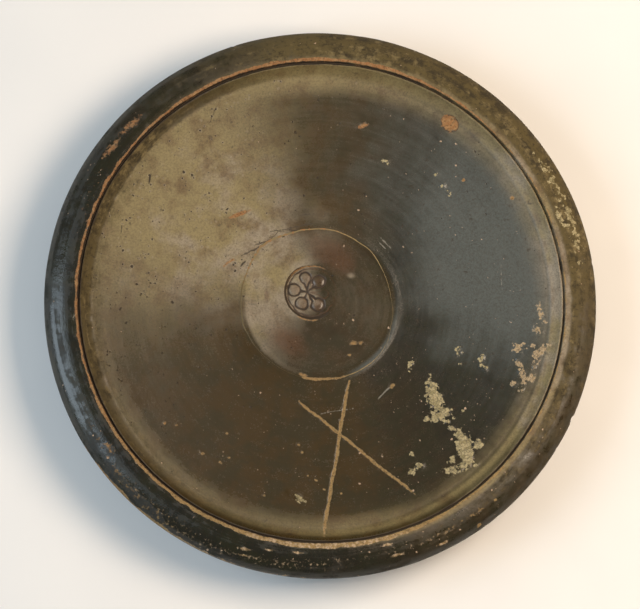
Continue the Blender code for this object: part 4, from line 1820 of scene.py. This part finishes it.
    def turning_tree(self) -> bpy.types.NodeTree:
        """Build the tree that turns a section round the axis.

        Returns:
            The tree, with inputs for the section, the number of steps and the material.
        """
        ports = {"Section": "Geometry", "Steps": "Int", "Material": "Material"}
        wiring = open_tree("turn_section", ports, "Body")
        given = wiring.outputs("NodeGroupInput")
        section = given["Section"]
        count = wiring.read("GeometryNodeAttributeDomainSize", {"Geometry": section})
        shape = wiring.read("GeometryNodeMeshGrid", {
            "Size X": 1.0, "Size Y": 1.0, "Vertices X": count, "Vertices Y": given["Steps"] + 1.0,
        })
        along, around, _ = wiring.read("GeometryNodeInputPosition").axes()
        row = wiring.calc("ROUND", (along + 0.5) * (count - 1.0))
        turn = (around + 0.5) * math.tau

        def at_row(value: Reading, kind: str) -> Reading:
            """Read one of the section's values at this row."""
            inputs = {"Geometry": section, "Value": value, "Index": row}
            return wiring.read("GeometryNodeSampleIndex", inputs, data_type=kind)

        out, _, up = at_row(wiring.read("GeometryNodeInputPosition"), "FLOAT_VECTOR").axes()
        run = wiring.read("GeometryNodeInputNamedAttribute", {"Name": Ring.RUN.value}, data_type="FLOAT")
        place = wiring.point(out * wiring.calc("COSINE", turn), out * wiring.calc("SINE", turn), up)
        numbers = {
            Ring.RADIUS: out * (1.0 / MM), Ring.HEIGHT: up * (1.0 / MM), Ring.RUN: at_row(run, "FLOAT"),
        }
        for ring, number in numbers.items():
            shape = wiring.read("GeometryNodeStoreNamedAttribute", {
                "Geometry": shape, "Name": ring.value, "Value": number,
            }, data_type="FLOAT", domain="POINT")
        shape = wiring.read("GeometryNodeSetPosition", {"Geometry": shape, "Position": place})
        shape = wiring.read("GeometryNodeMergeByDistance", {"Geometry": shape, "Distance": 0.01 * MM})
        return close_tree(shape, given["Material"])

    def turned(self) -> bpy.types.Object:
        """Turn the section.

        Returns:
            The plate's object, holding a plain mesh.
        """
        plate = self.profile()
        apply_nodes(plate, self.turning_tree(), {"Steps": self.steps, "Material": self.finish.material()})
        return plate

    def refine(self, mesh: bpy.types.Mesh) -> None:
        """Split faces where the relief is fine: round the outer dish and lip, and beside each mark.

        Args:
            mesh: the turned body, changed in place.
        """
        shape = bmesh.new()
        shape.from_mesh(mesh)
        bmesh.ops.recalc_face_normals(shape, faces=shape.faces)
        radius = shape.verts.layers.float[Ring.RADIUS.value]
        run = shape.verts.layers.float[Ring.RUN.value]
        lip_edge = self.section.run_at_lip_edge() + self.split_past_lip
        for inner in (self.first_split, self.second_split):
            rings = [
                edge for edge in shape.edges
                if abs(edge.verts[0][run] - edge.verts[1][run]) < self.same_ring
                and edge.verts[0][radius] > inner and edge.verts[0][run] < lip_edge
            ]
            bmesh.ops.subdivide_edges(shape, edges=rings, cuts=1, use_grid_fill=True)
        for reach, deepest in self.mark_reaches:
            shape.to_mesh(mesh)
            inside = self.near_marks(mesh)
            near = (inside > -reach) & (inside < deepest)
            shape.verts.ensure_lookup_table()
            edges = [e for e in shape.edges if near[e.verts[0].index] or near[e.verts[1].index]]
            bmesh.ops.subdivide_edges(shape, edges=edges, cuts=1, use_grid_fill=True)
            shape.verts.index_update()
        bmesh.ops.triangulate(shape, faces=[face for face in shape.faces if len(face.verts) > 4])
        shape.to_mesh(mesh)
        shape.free()

    def near_marks(self, mesh: bpy.types.Mesh) -> np.ndarray:
        """Measure the marks that need a finer mesh.

        Args:
            mesh: the body so far.

        Returns:
            How far each point lies inside the nearest mark, and far outside on the underside.
        """
        surface = Surface.of(mesh)
        patches = [patch.depth(surface) for patch in (*self.lime, *self.flakes)]
        scratches = self.scratched((*self.strokes, *self.scuffs, *self.cracks), surface)
        inside = np.max([scratches, self.chip.near(surface), *patches], axis=0)
        return np.where(self.upper(surface), inside, FAR_OUTSIDE)

    def upper(self, surface: Surface) -> np.ndarray:
        """Tell which points lie above the lip's lower edge, along the section."""
        return surface.run < self.section.run_at_lip_edge()

    def scratched(self, strokes: tuple[Stroke, ...], surface: Surface) -> np.ndarray:
        """How far each point lies inside the nearest of some strokes."""
        return np.max([stroke.inside(surface, self.section.groove_inner) for stroke in strokes], axis=0)

    def on_top(self, surface: Surface, inside: np.ndarray) -> np.ndarray:
        """Keep a mark in millimetres off the underside, and from -3 to 3."""
        return np.clip(np.where(self.upper(surface), inside, OUTSIDE), OUTSIDE, -OUTSIDE)

    def bare(self, surface: Surface) -> np.ndarray:
        """Measure bare clay of every kind.

        Args:
            surface: the body's points.

        Returns:
            How far each point lies inside it, in millimetres.
        """
        flakes = np.max([flake.inside(surface) for flake in self.flakes], axis=0)
        flakes = np.maximum(flakes, self.edges.flaked(surface))
        found = np.max([self.scratched(self.strokes, surface), self.crest.bare(surface),
                        self.ring.bared(surface), self.rosette.bare(surface), flakes], axis=0)
        return np.maximum(self.on_top(surface, found), self.edges.worn(surface))

    def limed(self, surface: Surface) -> np.ndarray:
        """How far each point lies inside a patch of lime."""
        return self.on_top(surface, np.max([patch.inside(surface) for patch in self.lime], axis=0))

    def dirt_and_shade_depth(self, surface: Surface) -> np.ndarray:
        """Measure the grime and painted shade in the groove and the stamp, the grime in the cracks, and
        round the largest flake.

        Args:
            surface: the body's points.

        Returns:
            How far each point lies inside it, in millimetres.
        """
        section = self.section
        # The groove's dark line: grime and painted shade.
        groove = surface.around(self.groove_dirt_and_shade) + 0.3 * surface.grain(Grain.GROOVE_DIRT_AND_SHADE)
        groove -= np.abs(surface.radius - section.groove_inner - section.groove_width * 0.65)
        cracks = self.scratched(self.cracks, surface)
        spot = self.flakes[0].depth(surface)
        spot = np.where(spot > 0.0, np.maximum(0.35 - spot, -0.07), 0.35 + spot)
        return self.on_top(surface, np.max([groove, self.rosette.dirt(surface), cracks, spot], axis=0))

    def zones(self, surface: Surface) -> Zones:
        """Tell the zones of the upper side apart.

        Args:
            surface: the body's points.

        Returns:
            Each zone's share of each point.
        """
        section, radius = self.section, surface.radius
        middle = section.disc_radius + section.ring_width / 2
        return Zones(
            disc=smooth(radius, middle + 1.0, middle - 1.0),
            foot=smooth(radius, section.cavetto_inner - 8.0, section.cavetto_inner + 0.5),
            wall=smooth(radius, section.cavetto_inner + 1.0, section.cavetto_inner + 2.5),
            lip=smooth(radius, section.groove_inner, section.groove_outer),
            upper=self.upper(surface),
        )

    def shares(self, surface: Surface) -> dict[Mark, np.ndarray]:
        """Give the marks that run from 0 to about 1.

        Args:
            surface: the body's points.

        Returns:
            Each mark's numbers.
        """
        zones = self.zones(surface)
        shares = {spread.mark: spread.read(surface, zones) for spread in self.spreads}
        crest = self.section.ridge_radius
        # Painted highlight: a pink band just outside the crest, strongest on the right; film and blush paint
        # it and the crust thins under it.
        beside = smooth(surface.radius, crest + 2.9, crest + 0.6) * zones.lip * zones.upper
        beside *= surface.around(self.crest_sheen)
        # The painted bluish reflection fades towards the middle.
        shares[Mark.SLATE_AND_REFLECTION] *= 0.45 + 0.55 * smooth(surface.radius, 34.0, 60.0) * zones.upper
        # Painted shade: the outer half of the right lip loses crust and shows darker.
        outer = smooth(surface.radius, crest + 3.6, crest + 7.0) * surface.around(self.outer_lip_shade)
        shares[Mark.CRUST] *= (1.0 - 0.75 * beside) * (1.0 - outer * zones.upper)
        shaded = smooth(surface.radius, self.section.groove_inner - 3.0, self.section.groove_inner - 0.8)
        shares[Mark.FILM_AND_SHEEN] *= 1.0 - shaded * surface.around(self.wall_shade) * zones.upper
        # Painted highlight round the stamp, and the pads' own tint.
        stamp_sheen_fade, pads = self.stamp_sheen.fade(surface), self.rosette.pads(surface, *self.pad_tint)
        rust = np.max([patch.fade(surface) for patch in self.rust], axis=0)
        olive = self.olive_spot.fade(surface)
        # Painted highlight on the raised ring's right side.
        ring = bell(surface.radius, self.ring.middle(), self.ring.ring_highlight_spread)
        ring = surface.around(self.ring.ring_highlight) * ring
        # The film also paints the highlight round the stamp and the crest's pink highlight, the slate paints
        # the highlight on the raised ring, and the blush adds to the crest's highlight.
        extra = {
            Mark.FILM_AND_SHEEN: np.max([0.8 * stamp_sheen_fade, 0.2 * pads, 0.6 * olive, beside], axis=0),
            Mark.SLATE_AND_REFLECTION: np.maximum(0.5 * stamp_sheen_fade, ring),
            Mark.BLUSH_AND_SHEEN: np.max([rust, self.rosette.brim(surface), 0.6 * pads, 0.4 * beside], axis=0),
        }
        for mark, values in extra.items():
            shares[mark] = np.where(zones.upper, np.maximum(shares[mark], values), shares[mark])
        return shares

    def relief(self, surface: Surface) -> None:
        """Work out every raised, cut and worn place.

        Args:
            surface: the body's points, whose lift and shift are set.
        """
        section = self.section
        cuts = [stroke.carve(surface, section.groove_inner)
                for stroke in (*self.strokes, *self.scuffs, *self.cracks)]
        strokes = np.min(cuts, axis=0) + np.maximum(np.max(cuts, axis=0), 0.0)
        hills = self.hill_lift * surface.grain(Grain.HILLS)
        turning = self.turning_lift * surface.streaks(Grain.TURNING) + hills
        bare, limed = self.bare(surface), self.limed(surface)
        flaked = bare + self.flake_ragged * surface.grain(Grain.FLAKES)
        flaked = -self.flake_depth * smooth(flaked, *self.flake_edge)
        crust = self.crust_lift + self.crumb_lift * surface.grain(Grain.CRUST)
        crust = crust * smooth(limed + self.crust_ragged * surface.grain(Grain.CRUST_EDGE), *self.crust_edge)
        fill = self.groove_fill * smooth(surface.grain(Grain.GROOVE_FILL), *self.groove_gaps)
        middle = section.groove_inner + section.groove_width / 2
        groove = fill * bell(surface.radius, middle, self.groove_spread)
        high = surface.height > section.crest_height - 4.0
        top = self.rosette.carve(surface) + strokes + self.ring.wear(surface)
        top = top + crust + flaked + (self.crest.wear(surface) + groove) * high
        surface.lift = turning + np.where(self.upper(surface), top, flaked * (surface.height < 2.0))
        surface.shift = self.chip.bite(surface)

    def shape(self, mesh: bpy.types.Mesh, surface: Surface) -> None:
        """Move the mesh's points to their places.

        Args:
            mesh: the body, changed in place.
            surface: its points with their relief.
        """
        turn = np.radians(surface.angle)
        heading = np.stack([np.cos(turn), np.sin(turn), np.zeros_like(turn)], axis=1)
        upward = np.array([0.0, 0.0, 1.0])
        places = surface.radius[:, None] * heading + surface.height[:, None] * upward
        mesh.vertices.foreach_set("co", (places * MM).ravel())
        mesh.update()
        normals = np.zeros(len(places) * 3)
        mesh.vertex_normals.foreach_get("vector", normals)
        places += surface.lift[:, None] * normals.reshape(-1, 3) + surface.shift[:, None] * heading
        lo, hi = (np.array(corner) / MM for corner in CAD_BOUNDS)
        mesh.vertices.foreach_set("co", (np.clip(places, lo, hi) * MM).ravel())
        mesh.update()

    def marks(self, mesh: bpy.types.Mesh, surface: Surface) -> None:
        """Store the marks that the finish reads.

        Args:
            mesh: the body, which gets one attribute for each mark.
            surface: its points.
        """
        numbers = {
            Mark.BARE: self.bare(surface),
            Mark.LIME: self.limed(surface),
            Mark.DIRT_AND_SHADE: self.dirt_and_shade_depth(surface),
            Mark.SCUFF: self.on_top(surface, self.scratched(self.scuffs, surface)),
            Mark.RING_LINE: np.where(self.upper(surface), self.ring.lined(surface), self.ring.line_limit),
            **self.shares(surface),
        }
        for mark, values in numbers.items():
            slot = mesh.attributes.new(mark.value, "FLOAT", "POINT")
            slot.data.foreach_set("value", values.astype(np.float32))
        for ring in Ring:
            mesh.attributes.remove(mesh.attributes[ring.value])

    def build(self) -> bpy.types.Object:
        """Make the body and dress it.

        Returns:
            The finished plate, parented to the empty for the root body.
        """
        plate = self.turned()
        self.refine(plate.data)
        surface = Surface.of(plate.data)
        self.relief(surface)
        self.shape(plate.data, surface)
        self.marks(plate.data, surface)
        plate.data.shade_smooth()
        plate.data.name = plate.name = "worn_plate"
        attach(plate, "root")
        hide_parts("plate")
        report(plate)
        return plate


@dataclass(frozen=True)
class LimeCrumbs:
    """Small grains of lime that stand on the crusts, scattered over them by a Geometry Nodes tree."""

    finish: Finish = Mottled("lime_grains", (0.23, 0.19, 0.10), (0.36, 0.30, 0.17), cloud_size=0.8,
                             detail=3.0, contrast=0.2, roughness=0.85, relief=0.1)
    density: float = 0.16
    smallest: float = 0.10
    largest: float = 0.28
    inside: float = 0.15
    highest: float = 30.4
    seed: int = 5

    def tree(self) -> bpy.types.NodeTree:
        """Build the tree that scatters the grains.

        Returns:
            The tree, with inputs for the host, the density, the sizes, how far inside the lime and how high
            the grains may lie, the seed and the material.
        """
        sizes = dict.fromkeys(("Density", "Smallest", "Largest", "Inside", "Highest"), "Float")
        ports = {"Geometry": "Geometry", "Host": "Object", **sizes, "Seed": "Int", "Material": "Material"}
        wiring = open_tree("scatter_crumbs", ports, "Crumbs")
        given = wiring.outputs("NodeGroupInput")
        seed = given["Seed"]
        host = wiring.outputs("GeometryNodeObjectInfo", {"Object": given["Host"]})["Geometry"]
        lime = wiring.read("GeometryNodeInputNamedAttribute", {"Name": Mark.LIME.value}, data_type="FLOAT")
        height = wiring.read("GeometryNodeInputPosition").axes()[2]
        low = wiring.calc("LESS_THAN", height, given["Highest"] * MM)
        chosen = wiring.calc("GREATER_THAN", lime, given["Inside"]) * low
        points = wiring.read("GeometryNodeDistributePointsOnFaces", {
            "Mesh": host, "Density": given["Density"] * chosen * (1.0 / MM ** 2), "Seed": seed,
        })
        lump = wiring.read("GeometryNodeMeshIcoSphere", {"Radius": MM, "Subdivisions": 1})
        size = wiring.read("FunctionNodeRandomValue", {
            "Min_001": given["Smallest"], "Max_001": given["Largest"], "Seed": seed,
        }, data_type="FLOAT")
        turn = wiring.read("FunctionNodeRandomValue", {
            "Min": (0.0, 0.0, 0.0), "Max": (math.tau, math.tau, math.tau), "Seed": seed,
        }, data_type="FLOAT_VECTOR")
        shape = wiring.read("GeometryNodeInstanceOnPoints", {
            "Points": points, "Instance": lump, "Rotation": turn, "Scale": size,
        })
        return close_tree(shape, given["Material"])

    def build(self, plate: bpy.types.Object) -> None:
        """Scatter the grains as one piece.

        Args:
            plate: the body that they stick to.
        """
        crumbs = put_in_scene("lime_crumbs", bpy.data.meshes.new("lime_crumbs"))
        apply_nodes(crumbs, self.tree(), {
            "Host": plate, "Density": self.density, "Smallest": self.smallest, "Largest": self.largest,
            "Inside": self.inside, "Highest": self.highest, "Seed": self.seed,
            "Material": self.finish.material(),
        })
        crumbs.data.name = "lime_crumbs"
        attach(crumbs, "root")
        report(crumbs)


@dataclass(frozen=True)
class Lamp:
    """One soft light: where it comes from, how far off and how wide it is, its power and colour."""

    name: str
    azimuth: float
    elevation: float
    distance: float
    width: float
    height: float
    power: float
    colour: Colour

    def build(self, target: Vector) -> None:
        """Hang the light, facing the target.

        Args:
            target: where it points, in metres.
        """
        light = bpy.data.lights.new(self.name, "AREA")
        light.shape = "RECTANGLE"
        light.size, light.size_y = self.width, self.height
        light.energy = self.power
        light.color = self.colour
        lamp = put_in_scene(self.name, light)
        turn, rise = math.radians(self.azimuth), math.radians(self.elevation)
        heading = Vector((math.cos(turn) * math.cos(rise), math.sin(turn) * math.cos(rise), math.sin(rise)))
        lamp.location = target + heading * self.distance
        lamp.rotation_euler = heading.to_track_quat("Z", "Y").to_euler()


@dataclass(frozen=True)
class Studio:
    """The pale floor, the soft lights and the camera that looks down into the dish."""

    floor: Finish = Mottled("pale_sheet", (0.80, 0.79, 0.78), (0.77, 0.765, 0.76), cloud_size=60.0,
                            detail=2.0, contrast=0.3, roughness=0.8, relief=0.05)
    floor_size: float = 6.0
    target_height: float = 20.4
    camera_distance: float = 1.25
    camera_tilt: float = 10.0
    camera_side: float = 252.0
    frame_width: float = 0.2553
    sensor: float = 36.0
    aim_x: float = -0.36
    aim_y: float = -0.42
    world_colour: Colour = (1.0, 0.96, 0.86)
    world_strength: float = 0.22
    lamps: tuple[Lamp, ...] = each(
        Lamp,
        ("warm_softbox", 6.0, 58.0, 0.6, 0.30, 0.30, 3.75, (1.0, 0.81, 0.62)),
        ("window", 186.0, 37.0, 1.3, 0.75, 1.1, 12.5, (0.72, 0.87, 1.0)),
        ("far_panel", 70.0, 45.0, 1.3, 0.75, 0.75, 0.6, (1.0, 1.0, 0.9)),
    )

    def lay_floor(self) -> None:
        """Lay the plain floor under the foot."""
        mesh = bpy.data.meshes.new("studio_floor")
        shape = bmesh.new()
        bmesh.ops.create_grid(shape, x_segments=2, y_segments=2, size=self.floor_size / 2)
        shape.to_mesh(mesh)
        shape.free()
        mesh.materials.append(self.floor.material())
        floor = put_in_scene("studio_floor", mesh)
        floor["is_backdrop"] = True

    def place_camera(self) -> None:
        """Place the camera over the plate, tilted a little towards the viewer, and make it the scene's."""
        target = Vector((self.aim_x, self.aim_y, self.target_height)) * MM
        side, tilt = math.radians(self.camera_side), math.radians(self.camera_tilt)
        back = Vector((math.cos(side) * math.sin(tilt), math.sin(side) * math.sin(tilt), math.cos(tilt)))
        up = Vector((0.0, 1.0, 0.0))
        up = (up - back * up.dot(back)).normalized()
        right = up.cross(back)
        lens = bpy.data.cameras.new("camera")
        lens.sensor_width = self.sensor
        lens.lens = self.sensor * self.camera_distance / self.frame_width
        camera = put_in_scene("camera", lens)
        turned = Matrix((right, up, back)).transposed().to_4x4()
        camera.matrix_world = Matrix.Translation(target + back * self.camera_distance) @ turned
        bpy.context.scene.camera = camera

    def light_world(self) -> None:
        """Give the room its soft even light."""
        world = bpy.data.worlds.new("room")
        world.use_nodes = True
        background = world.node_tree.nodes["Background"]
        background.inputs["Color"].default_value = (*self.world_colour, 1.0)
        background.inputs["Strength"].default_value = self.world_strength
        bpy.context.scene.world = world

    def build(self) -> None:
        """Set up the whole studio."""
        self.lay_floor()
        self.place_camera()
        self.light_world()
        for lamp in self.lamps:
            lamp.build(Vector((0.0, 0.0, self.target_height * MM)))
        bpy.context.scene.view_settings.view_transform = "Standard"
        LOG.info("studio: floor, camera and %d lights", len(self.lamps))


def open_tree(name: str, inputs: dict[str, str], output: str) -> Wiring:
    """Start a Geometry Nodes tree with its inputs and its output.

    Args:
        name: the tree's name.
        inputs: the name of each input and the kind of value that it takes.
        output: the name of the shape that it gives.

    Returns:
        The tree's wiring.
    """
    tree = bpy.data.node_groups.new(name, "GeometryNodeTree")
    for port, kind in inputs.items():
        tree.interface.new_socket(port, in_out="INPUT", socket_type=f"NodeSocket{kind}")
    tree.interface.new_socket(output, in_out="OUTPUT", socket_type="NodeSocketGeometry")
    return Wiring(tree)


def close_tree(shape: Reading, material: Reading) -> bpy.types.NodeTree:
    """End a Geometry Nodes tree: its instances are made real and its faces dressed.

    Args:
        shape: what the tree has made.
        material: the material that it was given.

    Returns:
        The finished tree.
    """
    shape = shape.wiring.read("GeometryNodeRealizeInstances", {"Geometry": shape})
    shape = shape.wiring.read("GeometryNodeSetMaterial", {"Geometry": shape, "Material": material})
    tree = shape.wiring.tree
    tree.links.new(shape.socket, shape.wiring.add("NodeGroupOutput").inputs[0])
    return tree


def apply_nodes(piece: bpy.types.Object, tree: bpy.types.NodeTree, sizes: dict[str, object]) -> None:
    """Run a Geometry Nodes tree on a piece and keep the result as its plain mesh.

    Args:
        piece: the object, whose mesh is replaced.
        tree: the tree.
        sizes: what each of the tree's named inputs gets.
    """
    modifier = piece.modifiers.new(tree.name, "NODES")
    modifier.node_group = tree
    for socket in tree.interface.items_tree:
        if socket.in_out == "INPUT" and socket.name in sizes:
            modifier[socket.identifier] = sizes[socket.name]
    bpy.context.view_layer.update()
    graph = bpy.context.evaluated_depsgraph_get()
    made = bpy.data.meshes.new_from_object(piece.evaluated_get(graph))
    piece.modifiers.remove(modifier)
    piece.data = made


def report(piece: bpy.types.Object) -> None:
    """Log a piece's name and size."""
    piece.data.calc_loop_triangles()
    LOG.info("%s: %d triangles", piece.name, len(piece.data.loop_triangles))


def write_sizes() -> None:
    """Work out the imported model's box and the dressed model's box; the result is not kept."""
    boxes = {"cad": CAD_BOUNDS, "visual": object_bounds()}
    {name: [list(corner) for corner in box] for name, box in boxes.items()}


def main() -> None:
    """Build the plate, its crumbs of lime and the studio."""
    logging.basicConfig(level=logging.INFO, format="%(name)s: %(message)s")
    low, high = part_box("plate")
    section = Section(rim_radius=round((high.x - low.x) / 2 / MM, 3), crest_height=round(high.z / MM, 3))
    plate = PlateBody(section).build()
    LimeCrumbs().build(plate)
    Studio().build()
    write_sizes()


if __name__ == "__main__":
    main()
